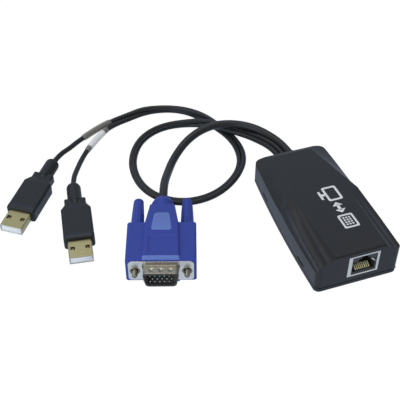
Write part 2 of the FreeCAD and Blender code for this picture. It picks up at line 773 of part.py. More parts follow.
def jack_contacts(floor):
    """Eight springs on the socket's floor, each rising towards the back."""
    base, rise, half = mm(floor), mm("contact_rise"), mm("contact_width / 2")
    near = mm("-case_length / 2 + contact_front")
    far = mm("-case_length / 2 + contact_rear")
    sheet_thick = mm("contact_thick")
    outline = [(near, base), (near + 2 * sheet_thick, base), (far, base + rise - sheet_thick),
               (far, base + rise), (near + sheet_thick, base + sheet_thick),
               (near, base + sheet_thick)]
    springs = []
    for place in range(JACK_CONTACT_COUNT):
        middle = mm(SOCKET_MIDDLE) + (place - (JACK_CONTACT_COUNT - 1) / 2) * mm("contact_pitch")
        wire = Part.makePolygon([Vector(middle - half, y, z) for y, z in outline + outline[:1]])
        springs.append(Part.Face(wire).extrude(Vector(2 * half, 0, 0)))
    group("jack_contacts", springs)


def group(label, solids, placement=None):
    """One node made of several like solids."""
    feature = doc.addObject("Part::Feature", label)
    feature.Label = label
    feature.Shape = solids[0] if len(solids) == 1 else Part.makeCompound(solids)
    if placement is not None:
        feature.Placement = placement
    PARTS[label] = feature
    return feature


def box_at(middle_x, middle_y, base, long, wide, high):
    corner = Vector(middle_x - long / 2, middle_y - wide / 2, base)
    return Part.makeBox(long, wide, high, corner)


def cable_grommet():
    """Rubber strain relief: a flange on each side of the rear wall and a tapered nose."""
    body = new_body("cable_grommet")
    wide, high = "gland_half + gland_flange", "gland_height + 2 * gland_flange"
    neck, bows = obround("gland_half - gland_fit", "gland_height - 2 * gland_fit")
    block(body, "XZ", neck, "-(case_length / 2 + gland_flange_thick)",
          "wall + 2 * gland_flange_thick", bows=bows, half_round=True)
    flange, bows = obround(wide, high)
    block(body, "XZ", flange, "-(case_length / 2 + gland_flange_thick)", "gland_flange_thick",
          bows=bows, half_round=True)
    block(body, "XZ", flange, "-(case_length / 2 - wall)", "gland_flange_thick", bows=bows,
          half_round=True)
    sketches = []
    for place, less in (("case_length / 2 + gland_flange_thick", "0"),
                        ("case_length / 2 + gland_nose", "gland_taper")):
        points, bows = obround("gland_half - " + less, "gland_height - 2 * " + less)
        sketch = new_sketch(body, "XZ", "-(%s)" % place)
        add_outline(sketch, points, bows, half_round=True)
        sketches.append(sketch)
    loft(body, sketches)


def chip_places():
    """Where the memory and the main chip lie: shares of the free board between jack and headers."""
    last = "(%s - header_deep / 2)" % HEADER_PLACE
    free = "(%s - %s - memory_long - chip_side - 2 * lead_reach)" % (last, JACK_REAR)
    memory_y = "%s + %s * memory_share + memory_long / 2" % (JACK_REAR, free)
    chip_y = "%s - %s * chip_share - lead_reach - chip_side / 2" % (last, free)
    return mm(memory_y), mm(chip_y)


def board_parts():
    """Main chip, memory, crystal, capacitors and the two cable headers on the board."""
    top = mm(BOARD_TOP)
    side, thick = mm("chip_side"), mm("chip_thick")
    reach, lead_thick = mm("lead_reach"), mm("lead_thick")
    memory_y, chip_y = chip_places()
    chip = [box_at(0, chip_y, top + lead_thick, side, side, thick)]
    group("controller_chip", chip)
    legs = []
    for turn in range(4):
        for place in range(CHIP_SIDE_LEAD_COUNT):
            offset = (place - (CHIP_SIDE_LEAD_COUNT - 1) / 2) * mm("lead_pitch")
            leg = box_at(offset, -side / 2 - reach / 2, top, mm("lead_width"), reach, lead_thick * 2)
            leg.rotate(Vector(0, 0, 0), Z, 90 * turn)
            leg.translate(Vector(0, chip_y, 0))
            legs.append(leg)
    group("controller_leads", legs)
    group("memory_chip", [box_at(-mm("memory_across"), memory_y, top, mm("memory_wide"),
                                 mm("memory_long"), thick)])
    crystal = box_at(mm("crystal_across"), memory_y, top, mm("crystal_long"), mm("crystal_wide"),
                     mm("crystal_high"))
    ends = [edge for edge in crystal.Edges if along(edge, Z)]
    group("crystal_can", [crystal.makeFillet(mm("crystal_wide / 2 - crystal_flat"), ends)])
    radius, tall = mm("capacitor_radius"), mm("cavity_height - %s - capacitor_room" % BOARD_TOP)
    cans = [Part.makeCylinder(radius, tall, Vector(x, chip_y + y, top))
            for x, y in CAPACITORS_FROM_CHIP]
    group("capacitors", cans)


def header_blocks():
    """Two shrouded headers, and the wires that run to them from the grommet's inner face."""
    top, deep, high = mm(BOARD_TOP), mm("header_deep"), mm("header_high")
    place = mm(HEADER_PLACE)
    inner_face = mm("case_length / 2 - wall - gland_flange_thick")
    level = mm("gland_middle")
    for label, middle, long, count in (
            ("video_header", mm("video_exit + video_header_aside"), mm("video_header_long"),
             VIDEO_WIRE_COUNT),
            ("usb_header", mm("(usb_exit_near + usb_exit_far) / 2 - usb_header_aside"),
             mm("usb_header_long"), USB_WIRE_COUNT)):
        group(label, [box_at(middle, place, top, long, deep, high)])
        start = place + deep / 2
        wires = []
        for number in range(count):
            x = middle + (number - (count - 1) / 2) * mm("wire_pitch")
            wires.append(Part.makeCylinder(mm("wire_radius"), inner_face - start,
                                           Vector(x, start, level), Y))
        group(label.replace("header", "wires"), wires)


def plug_frame(at, turn, x="0", z="0"):
    """Placement of a plug on the table, moved to a point of its own across and up."""
    base = Placement(Vector(at[0], at[1], 0), Rotation(Z, turn))
    return base.multiply(Placement(Vector(mm(x), 0, mm(z)), Rotation()))


def d_outline(inset):
    """The D-shaped outline, wide side up, drawn in by inset."""
    low = "plug_axis - shell_height / 2 + " + inset
    high = "plug_axis + shell_height / 2 - " + inset
    narrow, broad = "shell_half - shell_slope - " + inset, "shell_half - " + inset
    return [("-(%s)" % narrow, low), (narrow, low), (broad, high), ("-(%s)" % broad, high)]


def within(edge, half, reach):
    """True for an edge along the plug whose middle lies inside a window about the plug's axis."""
    middle = edge.BoundBox.Center
    return along(edge, Y) and abs(middle.x) < half and abs(middle.z - mm("plug_axis")) < reach


def video_flange():
    """Front plate drawn in one piece with the D-shaped shell."""
    body = new_body("vga_flange", VIDEO_PLUG_AT, VIDEO_PLUG_TURN)
    low, high = "plug_axis - flange_height / 2", "plug_axis + flange_height / 2"
    block(body, "XZ", rectangle("flange_half", low, high), "-flange_thick", "flange_thick")
    round_edges(body, lambda edge: along(edge, Y), "flange_corner")
    block(body, "XZ", d_outline("0"), "0", "shell_reach")
    shell_window = (mm("shell_half + shell_sheet"), mm("shell_height / 2 + shell_sheet"))
    round_edges(body, lambda edge: within(edge, *shell_window), "shell_corner")
    block(body, "XZ", d_outline("shell_sheet"), "shell_reach", "shell_reach + flange_thick",
          cut=True)
    through = mm("shell_reach + flange_thick / 2")
    round_edges(body, lambda edge: along(edge, Y) and edge.Length > through,
                "shell_corner - shell_sheet")
    rods(body, "XZ", [("-screw_across", "plug_axis"), ("screw_across", "plug_axis")],
         "screw_hole", "sink", "flange_thick + sink", cut=True)


def pin_places():
    """Places of the fifteen contacts: three rows of five, the middle row half a pitch aside."""
    places = []
    for row in range(3):
        aside = "1 / 4" if row == 1 else "-1 / 4"
        for column in range(5):
            places.append(("(%d + %s) * pin_pitch" % (column - 2, aside),
                           "plug_axis + %d * row_pitch" % (1 - row)))
    return places


def video_insulator():
    body = new_body("vga_insulator", VIDEO_PLUG_AT, VIDEO_PLUG_TURN)
    block(body, "XZ", d_outline("(shell_sheet + insert_play)"), "-insert_rear",
          "insert_rear + insert_front")
    round_edges(body, lambda edge: along(edge, Y), "shell_corner - shell_sheet - insert_play")
    rods(body, "XZ", pin_places(), "plug_pin_hole", "insert_front", "insert_front + insert_rear",
         cut=True)


def video_pins():
    radius, front, rear = mm("plug_pin"), mm("plug_pin_front"), mm("plug_pin_rear")
    pins = []
    for place in pin_places():
        x, level = mm(place[0]), mm(place[1])
        stem = Part.makeCylinder(radius, front + rear - radius, Vector(x, radius - front, level), Y)
        tip = Part.makeCone(mm("plug_pin_tip"), radius, radius, Vector(x, -front, level), Y)
        pins.append(stem.fuse(tip).removeSplitter())
    group("vga_pins", pins, plug_frame(VIDEO_PLUG_AT, VIDEO_PLUG_TURN))


def video_hood():
    """Moulded hood: two wings for the screws, a thicker core, a tapering tail and a round neck."""
    body = new_body("vga_hood", VIDEO_PLUG_AT, VIDEO_PLUG_TURN)
    start = "flange_thick"
    block(body, "XY", rectangle("hood_half", start, "hood_length"), "plug_axis - hood_wing",
          "2 * hood_wing")
    rear = mm("hood_length")
    round_edges(body, lambda edge: along(edge, Z) and edge.BoundBox.Center.y > rear - 0.01,
                "hood_rear_corner")
    front = mm(start)
    round_edges(body, lambda edge: along(edge, Y) and edge.BoundBox.Center.y > front + 0.01,
                "hood_edge")
    core = [("-core_half_front", start), ("core_half_front", start), ("core_half_rear", "core_end"),
            ("-core_half_rear", "core_end")]
    block(body, "XY", core, "0", "2 * plug_axis")
    top, bottom = mm("2 * plug_axis") - 0.01, 0.01
    round_edges(body, lambda edge: along(edge, X) and edge.BoundBox.ZMin > top
                and edge.BoundBox.YMax < front + 0.01, "core_bevel", "Chamfer")
    tail = []
    for place, half, high in (("core_end", "core_half_rear", "plug_axis"),
                              ("tail_end", "tail_half", "tail_high")):
        sketch = new_sketch(body, "XZ", "-(%s)" % place)
        add_outline(sketch, rectangle(half, "plug_axis - " + high, "plug_axis + " + high))
        tail.append(sketch)
    loft(body, tail)
    tail_start, tail_end = mm("core_end"), mm("tail_end")

    def long_edge(edge):
        box = edge.BoundBox
        off_axis = abs(box.Center.z - mm("plug_axis")) > mm("tail_high + 0.1")
        return off_axis and box.YMin > tail_start - 0.5 and abs(box.YMax - tail_end) < 0.5

    round_edges(body, long_edge, "tail_edge")
    turned(body, [("0", "tail_end - sink"), ("neck_radius", "tail_end - sink"),
                  ("neck_radius", "tail_end"), ("neck_end_radius", "neck_end"), ("0", "neck_end")],
           "plug_axis")
    pad_sections = []
    for place, half, top_z in (
            ("thumb_pad_start", "thumb_pad_front", "2 * plug_axis"),
            ("core_end", pad_half("core_end"), "2 * plug_axis"),
            ("thumb_pad_end", "thumb_pad_rear", tail_top("thumb_pad_end"))):
        sketch = new_sketch(body, "XZ", "-(%s)" % place)
        add_outline(sketch, rectangle(half, top_z + " - sink", top_z + " + thumb_pad_rise"))
        pad_sections.append(sketch)
    loft(body, pad_sections)
    block(body, "XY", rectangle("panel_half", "panel_start", "panel_end"), "2 * plug_axis",
          "panel_depth", cut=True)
    block(body, "XZ", rectangle("shell_half", "plug_axis - shell_height / 2",
                                "plug_axis + shell_height / 2"), "0", "plug_pin_rear + sink", cut=True)
    rods(body, "XZ", [("-screw_across", "plug_axis"), ("screw_across", "plug_axis")],
         "screw_hole", "0", "hood_length + sink", cut=True)


def tail_top(place):
    """Height of the hood's sloping tail at a place along the plug."""
    return ("2 * plug_axis - (plug_axis - tail_high) * (%s - core_end) / (tail_end - core_end)"
            % place)


def pad_half(place):
    return ("thumb_pad_front - (thumb_pad_front - thumb_pad_rear) * (%s - thumb_pad_start)"
            " / (thumb_pad_end - thumb_pad_start)" % place)


def thumbscrews():
    """Two captive screws, each a threaded end on a thinner core moulded into a tapered grip."""
    for side, sign in (("left", -1), ("right", 1)):
        frame = plug_frame(VIDEO_PLUG_AT, VIDEO_PLUG_TURN, "%d * screw_across" % sign, "plug_axis")
        grip = new_body("thumbscrew_%s_grip" % side)
        grip.Placement = frame
        turned(grip, [("0", "grip_start"), ("grip_radius", "grip_start"),
                      ("grip_radius", "grip_start + grip_step"),
                      ("grip_radius_end", "grip_end - grip_dome"), ("grip_tip", "grip_end"),
                      ("0", "grip_end")],
               bows={3: "grip_bow"})
        rods(grip, "XZ", [("0", "0")], "screw_core", "-grip_start", "grip_bore", cut=True)
        screw = new_body("thumbscrew_%s_shank" % side)
        screw.Placement = frame
        turned(screw, [("0", "-screw_tip"), ("screw_radius - screw_point", "-screw_tip"),
                       ("screw_radius", "-screw_tip + screw_point"),
                       ("screw_radius", "-thread_back"), ("screw_core", "-thread_back"),
                       ("screw_core", "grip_start + grip_bore"), ("0", "grip_start + grip_bore")])


def usb_plug(side, at, turn):
    """Moulded body with its boot, the folded metal shell, and the contact tongue inside it."""
    body = new_body("usb_%s_body" % side, at, turn)
    low, high = "usb_axis - usb_body_high", "usb_axis + usb_body_high"
    block(body, "XZ", rectangle("usb_body_half", low, high), "-usb_body_straight",
          "usb_body_straight")
    sections = []
    for place, half, tall in (("usb_body_straight", "usb_body_half", "usb_body_high"),
                              ("usb_body_end", "usb_shoulder_half", "usb_shoulder_high")):
        sketch = new_sketch(body, "XZ", "-" + place)
        add_outline(sketch, rectangle(half, "usb_axis - " + tall, "usb_axis + " + tall))
        sections.append(sketch)
    loft(body, sections)
    round_edges(body, lambda edge: edge.BoundBox.YLength > 2, "usb_body_edge")
    round_edges(body, lambda edge: edge.BoundBox.YMax < 0.01, "usb_front_edge")
    block(body, "XZ", rectangle("usb_neck_half", "usb_axis - usb_neck_high",
                                "usb_axis + usb_neck_high"),
          "-usb_neck_end", "usb_neck_end - usb_body_end + sink")
    body_end = mm("usb_body_end")
    round_edges(body, lambda edge: along(edge, Y) and edge.BoundBox.Center.y > body_end,
                "usb_neck_edge")
    turned(body, [("0", "usb_neck_end - sink"), ("usb_boot_radius", "usb_neck_end - sink"),
                  ("usb_boot_radius", "usb_boot_end - usb_boot_round"),
                  ("usb_boot_mouth", "usb_boot_end"), ("0", "usb_boot_end")],
           "usb_axis", bows={2: "usb_boot_bow"})
    block(body, "XZ", shell_outline("0"), "0", "usb_shell_seat", cut=True)

    shell = new_body("usb_%s_shell" % side, at, turn)
    block(shell, "XZ", shell_outline("0"), "-usb_shell_seat", "usb_shell_seat + usb_shell_reach")
    round_edges(shell, lambda edge: along(edge, Y), "usb_shell_corner")
    block(shell, "XZ", shell_outline("usb_shell_sheet"), "usb_shell_reach",
          "usb_shell_seat + usb_shell_reach", cut=True)
    sketch = new_sketch(shell, "XY", "usb_axis")
    for sign in ("-", ""):
        middle = sign + "usb_window_across"
        add_outline(sketch, [
            (middle + " - usb_window / 2", "-usb_window_ahead - usb_window / 2"),
            (middle + " + usb_window / 2", "-usb_window_ahead - usb_window / 2"),
            (middle + " + usb_window / 2", "-usb_window_ahead + usb_window / 2"),
            (middle + " - usb_window / 2", "-usb_window_ahead + usb_window / 2")])
    pocket(shell, sketch, "2 * (usb_shell_high + sink)", symmetric=True)

    tongue = new_body("usb_%s_tongue" % side, at, turn)
    base = "usb_axis - usb_shell_high + usb_shell_sheet"
    half = "usb_shell_half - usb_shell_sheet - usb_tongue_inset"
    block(tongue, "XZ", rectangle(half, base, base + " + usb_tongue_thick"), "-usb_shell_seat",
          "usb_shell_seat + usb_shell_reach - usb_tongue_back")
    level = mm(base + " + usb_tongue_thick")
    length = mm("usb_contact_length")
    middle = mm("-usb_shell_reach + usb_tongue_back + usb_contact_inset") + length / 2
    strips = [box_at(sign * mm(across), middle, level, mm("usb_contact_width"), length,
                     mm("usb_contact_thick"))
              for across in ("usb_contact_inner", "usb_contact_outer") for sign in (-1, 1)]
    group("usb_%s_contacts" % side, strips, plug_frame(at, turn))


def shell_outline(inset):
    """Outline of the USB shell drawn in by inset."""
    return rectangle("usb_shell_half - " + inset, "usb_axis - usb_shell_high + " + inset,
                     "usb_axis + usb_shell_high - " + inset)


class Route:
    """Straight runs joined by tangent arcs through a list of points."""

    def __init__(self, points):
        self.points = [Vector(*point) for point in points]
        self.corners = {}
        for number in range(1, len(points) - 1):
            self.corners[number] = self.corner(number)

    def corner(self, number):
        """Start, middle and end of the arc at a point, and its radius."""
        before, point, after = self.points[number - 1:number + 2]
        ahead, onward = (point - before).normalize(), (after - point).normalize()
        shorter = min((point - before).Length, (after - point).Length)
        reach = ARC_SHARE * shorter
        half_turn = ahead.getAngle(onward) / 2
        radius = reach / math.tan(half_turn)
        inward = (onward - ahead).normalize()
        centre = point + inward * (radius / math.cos(half_turn))
        return (point - ahead * reach, centre - inward * radius, point + onward * reach, radius)

    def place(self, span):
        number, share = span
        start, end = self.points[number], self.points[number + 1]
        return start + (end - start) * share

    def wire(self, first=None, last=None):
        """Path along the route, whole or between two places on its runs."""
        begin = self.points[0] if first is None else self.place(first)
        finish = self.points[-1] if last is None else self.place(last)
        low = 1 if first is None else first[0] + 1
        high = len(self.points) - 2 if last is None else last[0]
        edges, at = [], begin
        for number in range(low, high + 1):
            start, middle, end, _ = self.corners[number]
            edges.append(Part.LineSegment(at, start).toShape())
            edges.append(Part.Arc(start, middle, end).toShape())
            at = end
        edges.append(Part.LineSegment(at, finish).toShape())
        return Part.Wire(edges)


def tube(path, radius):
    """Round solid along a path."""
    first = path.Edges[0]
    start, ahead = first.valueAt(first.FirstParameter), first.tangentAt(first.FirstParameter)
    ring = Part.Wire(Part.makeCircle(radius, start, ahead))
    return path.makePipeShell([ring], True, False)


def cables():
    """The three cables and the sleeves on the two thin ones."""
    routes = {"vga_cable": (VIDEO_ROUTE, "video_cord"), "usb_cable_left": (LEFT_ROUTE, "usb_cord"),
              "usb_cable_right": (RIGHT_ROUTE, "usb_cord")}
    for label, (points, size) in routes.items():
        route, radius = Route(points), mm(size) / 2
        path = route.wire()
        solid = tube(path, radius)
        group(label, [solid])
        expected = math.pi * radius ** 2 * path.Length
        radii = [corner[3] for corner in route.corners.values()]
        print("%s: length %.1f, volume %.1f of %.1f, least radius %.1f at point %d" % (
            label, path.Length, solid.Volume, expected, min(radii), radii.index(min(radii)) + 1))
    for label, points, span, thick in (
            ("clear_sleeve", LEFT_ROUTE, LEFT_SLEEVE_SPAN, "sleeve_wall"),
            ("label_sleeve", RIGHT_ROUTE, RIGHT_SLEEVE_SPAN, "label_wall")):
        path = Route(points).wire(*span)
        inner = mm("usb_cord / 2 + sleeve_play")
        group(label, [tube(path, inner + mm(thick)).cut(tube(path, inner))])


def check_model():
    """Stop before anything is written if an object failed or a piece is not a sound solid."""
    doc.recompute()
    failed = [thing for thing in doc.Objects if "Invalid" in thing.State or "Error" in thing.State]
    for thing in failed:
        owner = thing.getParentGeoFeatureGroup()
        print("failed:", thing.Name, "in", owner.Label if owner else "the document", thing.State)
    if failed:
        raise RuntimeError("the model has failed features")
    for label, piece in PARTS.items():
        if piece.Shape.isNull() or not piece.Shape.isValid() or not piece.Shape.Solids:
            raise RuntimeError(label + " is not a sound solid")


def write_model():
    for label, piece in PARTS.items():
        piece.Shape.exportStep("parts/%s.step" % label)
        print("%s: %d solids, %.1f mm3" % (label, len(piece.Shape.Solids), piece.Shape.Volume))


top_cover()
bottom_cover()
circuit_board()
jack_pieces()
cable_grommet()
board_parts()
header_blocks()
video_flange()
video_insulator()
video_pins()
video_hood()
thumbscrews()
usb_plug("left", LEFT_USB_AT, LEFT_USB_TURN)
usb_plug("right", RIGHT_USB_AT, RIGHT_USB_TURN)
cables()
check_model()
write_model()
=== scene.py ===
# %% [markdown]
# # A network dongle for a server console
#
# A wedge-shaped moulded unit with a network jack at its front.  From its rear come one thick
# video cable, with a blue fifteen-pin plug, and two thin cables with a USB plug each.  The
# housing, the plugs' shells and the jack come from the CAD frame, where each one already has its
# true size.  This file lays the cables, adds the small things that a CAD solid leaves out, and
# gives every surface its finish.
#
# ## Step 1: the frame
#
# The imported model is loaded once, and its box is kept.  Its box is kept, because nothing that
# is added here may make the object bigger.

# %% Load the frame
import json
import math

import bpy
import numpy as np
from mathutils import Matrix, Vector


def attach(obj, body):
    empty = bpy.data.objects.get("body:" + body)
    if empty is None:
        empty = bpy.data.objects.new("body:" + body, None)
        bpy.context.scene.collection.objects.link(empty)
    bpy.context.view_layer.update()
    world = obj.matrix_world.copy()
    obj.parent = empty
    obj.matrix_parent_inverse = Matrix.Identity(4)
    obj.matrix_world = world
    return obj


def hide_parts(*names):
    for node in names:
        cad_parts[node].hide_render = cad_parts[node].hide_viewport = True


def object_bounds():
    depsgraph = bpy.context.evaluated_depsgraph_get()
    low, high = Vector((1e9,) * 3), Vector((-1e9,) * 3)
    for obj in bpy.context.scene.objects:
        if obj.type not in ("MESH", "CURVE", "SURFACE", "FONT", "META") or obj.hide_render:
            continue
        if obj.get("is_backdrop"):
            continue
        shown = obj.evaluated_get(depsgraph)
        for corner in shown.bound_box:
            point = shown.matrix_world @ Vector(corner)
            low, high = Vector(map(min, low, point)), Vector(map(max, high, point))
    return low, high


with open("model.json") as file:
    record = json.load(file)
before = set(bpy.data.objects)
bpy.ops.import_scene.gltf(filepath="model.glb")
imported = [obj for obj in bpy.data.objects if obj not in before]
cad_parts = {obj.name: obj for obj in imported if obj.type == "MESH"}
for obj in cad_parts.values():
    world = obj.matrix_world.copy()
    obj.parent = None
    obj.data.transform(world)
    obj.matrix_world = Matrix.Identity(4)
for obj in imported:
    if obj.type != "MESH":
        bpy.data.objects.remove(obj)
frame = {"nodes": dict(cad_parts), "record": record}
cad_low, cad_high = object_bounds()
nodes = frame["nodes"]
MM = 0.001
UNIT = "unit"
cad_size = [round((high - low) / MM, 1) for low, high in zip(cad_low, cad_high)]
print("frame:", len(nodes), "nodes,", cad_size, "mm")

# %% [markdown]
# ## Step 2: the camera, the table and the light
#
# The camera stands where the photographer's did: about 44 degrees above the table, turned a
# little from the housing's own axis.  Its place and the two directions that its picture is
# built from were found from the plugs, whose sizes are standard.  A long lens of 77 mm keeps
# the sides of the housing nearly parallel, as in the picture.

# %% Camera
CAMERA_AT = Vector((-0.1595, -0.2751, 0.3178))
CAMERA_RIGHT = Vector((0.9461, -0.3238, 0.0))
CAMERA_AHEAD = Vector((0.2329, 0.6806, -0.6947))
LENS_MM, SENSOR_MM, SIGHT = 77.4, 36.0, 20.0

camera_data = bpy.data.cameras.new("camera")
camera_data.lens = LENS_MM
camera_data.sensor_width = SENSOR_MM
camera_data.clip_end = SIGHT
camera = bpy.data.objects.new("camera", camera_data)
bpy.context.scene.collection.objects.link(camera)
camera_up = CAMERA_RIGHT.cross(CAMERA_AHEAD)
camera.matrix_world = Matrix.Translation(CAMERA_AT) @ Matrix(
    (CAMERA_RIGHT, camera_up, -CAMERA_AHEAD)).transposed().to_4x4()
bpy.context.scene.camera = camera
bpy.context.scene.view_settings.view_transform = "Standard"
print("camera:", round(CAMERA_AT.length, 2), "m from the housing's middle")

# %% [markdown]
# The table is one large sheet that bends up far behind the object, so that there is no horizon.
# It is a grid of points, like every other surface that is drawn here, so the two helpers that
# turn a grid into a mesh come first.

# %% Table and backdrop
def new_mesh(name, points, faces, smooth=True):
    """Mesh object from an array of points and an array of faces, its normals left as wound."""
    mesh = bpy.data.meshes.new(name)
    mesh.from_pydata(np.asarray(points, float).reshape(-1, 3).tolist(), [],
                     [list(map(int, face)) for face in faces])
    mesh.polygons.foreach_set("use_smooth", [smooth] * len(mesh.polygons))
    mesh.update()
    piece = bpy.data.objects.new(name, mesh)
    bpy.context.scene.collection.objects.link(piece)
    return piece


def grid_faces(rows, columns, around):
    """Quads of a grid of points; with around, the last column joins the first."""
    row = np.arange(rows - 1)[:, None]
    column = np.arange(columns if around else columns - 1)[None, :]
    following = (column + 1) % columns
    corners = [row * columns + column, row * columns + following,
               (row + 1) * columns + following, (row + 1) * columns + column]
    return np.stack([np.broadcast_to(c, (rows - 1, column.shape[1])) for c in corners],
                    axis=-1).reshape(-1, 4)


TABLE_REACH = 3.0
BEND_STARTS, BEND_RADIUS = 1.6, 0.6
TABLE_DROP = 0.0001


def table_points():
    """Level up to the bend, then a quarter circle, then upright: height against depth."""
    turn = np.linspace(0, math.pi / 2, 13)
    depth = np.concatenate([[-TABLE_REACH], BEND_STARTS + BEND_RADIUS * np.sin(turn),
                            [BEND_STARTS + BEND_RADIUS]])
    height = np.concatenate([[0.0], BEND_RADIUS * (1 - np.cos(turn)), [TABLE_REACH]])
    across = np.array([-TABLE_REACH, TABLE_REACH])
    grid = np.empty((len(depth), 2, 3))
    grid[..., 0] = across[None, :]
    grid[..., 1] = depth[:, None]
    grid[..., 2] = height[:, None] - TABLE_DROP
    return grid


table_grid = table_points()
table = new_mesh("table", table_grid, grid_faces(*table_grid.shape[:2], False)[:, ::-1])
table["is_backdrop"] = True
print("table:", len(table.data.polygons), "faces")

# %% [markdown]
# Every material is a few shader nodes joined by links.  These helpers write the ones that come
# back in several materials: a colour between two others, and one step of arithmetic.

# %% Node helpers
def material_named(name):
    """A new node material and its links, with the default shader and output found."""
    material = bpy.data.materials.new(name)
    material.use_nodes = True
    tree = material.node_tree
    return material, tree, tree.nodes["Principled BSDF"], tree.nodes["Material Output"]


def feed(tree, socket, value):
    """Give an input a plain value, or link it to another node's output."""
    if isinstance(value, bpy.types.NodeSocket):
        tree.links.new(value, socket)
    else:
        socket.default_value = value


def mix_colours(tree, share, first, second):
    """Colour between two, each a colour or an output, where share is an output."""
    node = tree.nodes.new("ShaderNodeMix")
    node.data_type = "RGBA"
    colours = [socket for socket in node.inputs if socket.type == "RGBA"]
    tree.links.new(share, node.inputs[0])
    for socket, value in zip(colours, (first, second)):
        feed(tree, socket, value)
    return next(socket for socket in node.outputs if socket.type == "RGBA")


def math_node(tree, operation, first, second):
    """Result of one operation on two inputs, each a number or an output."""
    node = tree.nodes.new("ShaderNodeMath")
    node.operation = operation
    for socket, value in zip(node.inputs, (first, second)):
        feed(tree, socket, value)
    return node.outputs[0]


print("helpers for nodes: feed, mix_colours, math_node")

# %% [markdown]
# The table has to look white, yet light that is strong enough to make it white would wash out
# the dark plastic.  So most of its whiteness is given to the rays that only look at it, and the
# rest is plain paint, which still takes the object's soft shadow.  In the plastic's sheen the
# table is mirrored a little darker and bluer, as the picture has it.

# %% Table paint
PAINT, PAINT_ROUGHNESS, PAINT_GLOSS = (0.82, 0.82, 0.82, 1), 0.9, 0.1
PURE_WHITE, MIRRORED_WHITE = (1, 1, 1, 1), (0.58, 0.68, 0.86, 1)
LOOKED_AT_SHARE, GLOW = 0.92, 1.06


def table_paint():
    """Matt white paint, with most of its look set as plain white for rays that only look."""
    material, tree, shader, output = material_named("table_white")
    shader.inputs["Base Color"].default_value = PAINT
    shader.inputs["Roughness"].default_value = PAINT_ROUGHNESS
    shader.inputs["Specular IOR Level"].default_value = PAINT_GLOSS
    path = tree.nodes.new("ShaderNodeLightPath")
    looks = math_node(tree, "MAXIMUM", path.outputs["Is Camera Ray"], path.outputs["Is Glossy Ray"])
    looks = math_node(tree, "MAXIMUM", looks, path.outputs["Is Transmission Ray"])
    share = math_node(tree, "MULTIPLY", looks, LOOKED_AT_SHARE)
    glow = tree.nodes.new("ShaderNodeEmission")
    seen = mix_colours(tree, path.outputs["Is Glossy Ray"], PURE_WHITE, MIRRORED_WHITE)
    tree.links.new(seen, glow.inputs["Color"])
    glow.inputs["Strength"].default_value = GLOW
    mix = tree.nodes.new("ShaderNodeMixShader")
    tree.links.new(share, mix.inputs[0])
    tree.links.new(shader.outputs[0], mix.inputs[1])
    tree.links.new(glow.outputs[0], mix.inputs[2])
    tree.links.new(mix.outputs[0], output.inputs["Surface"])
    return material


table.data.materials.append(table_paint())
print("table paint:", table.active_material.name)

# %% [markdown]
# The picture has no hard shadow and no bright spot, only broad soft sheens on the cables' upper
# side and on the upright faces of the housing.  That is a tent of white cloth: an even world,
# with one large soft lamp above and behind, and a cooler one at the front left.

# %% Light
SKY_TINT, SKY_STRENGTH = (0.95, 0.97, 1.0, 1), 0.45
OBJECT_MIDDLE = Vector((-0.05, 0.03, 0.0))
LAMP_SIZE = 0.9
world = bpy.data.worlds.new("studio")
bpy.context.scene.world = world
world.use_nodes = True
sky = world.node_tree.nodes["Background"]
sky.inputs["Color"].default_value = SKY_TINT
sky.inputs["Strength"].default_value = SKY_STRENGTH


def soft_lamp(name, at, watts, colour=(1.0, 1.0, 1.0)):
    """Square area lamp at a place, facing the middle of the object."""
    data = bpy.data.lights.new(name, "AREA")
    data.shape = "SQUARE"
    data.size = LAMP_SIZE
    data.energy = watts
    data.color = colour
    lamp = bpy.data.objects.new(name, data)
    bpy.context.scene.collection.objects.link(lamp)
    lamp.location = at
    aim = OBJECT_MIDDLE - Vector(at)
    lamp.rotation_mode = "QUATERNION"
    lamp.rotation_quaternion = aim.to_track_quat("-Z", "Y")
    return lamp


lamps = [soft_lamp("overhead_lamp", (-0.2, 0.4, 1.4), 6.5),
         soft_lamp("front_left_lamp", (-1.05, -0.7, 0.5), 8.0, (0.80, 0.90, 1.0))]
print("lamps:", [(lamp.name, lamp.data.energy) for lamp in lamps])

# %% [markdown]
# ## Step 3: the cables
#
# A cable is a curve with a round section.  Each route is a list of points, in metres, laid on
# the table as the picture shows them: the two thin cables leave the grommet side by side, run
# once round a loop, lie over each other where the band looks narrow, and part at the label.  A
# NURBS spline of order three passes near the points and turns evenly, as a bent cable does.

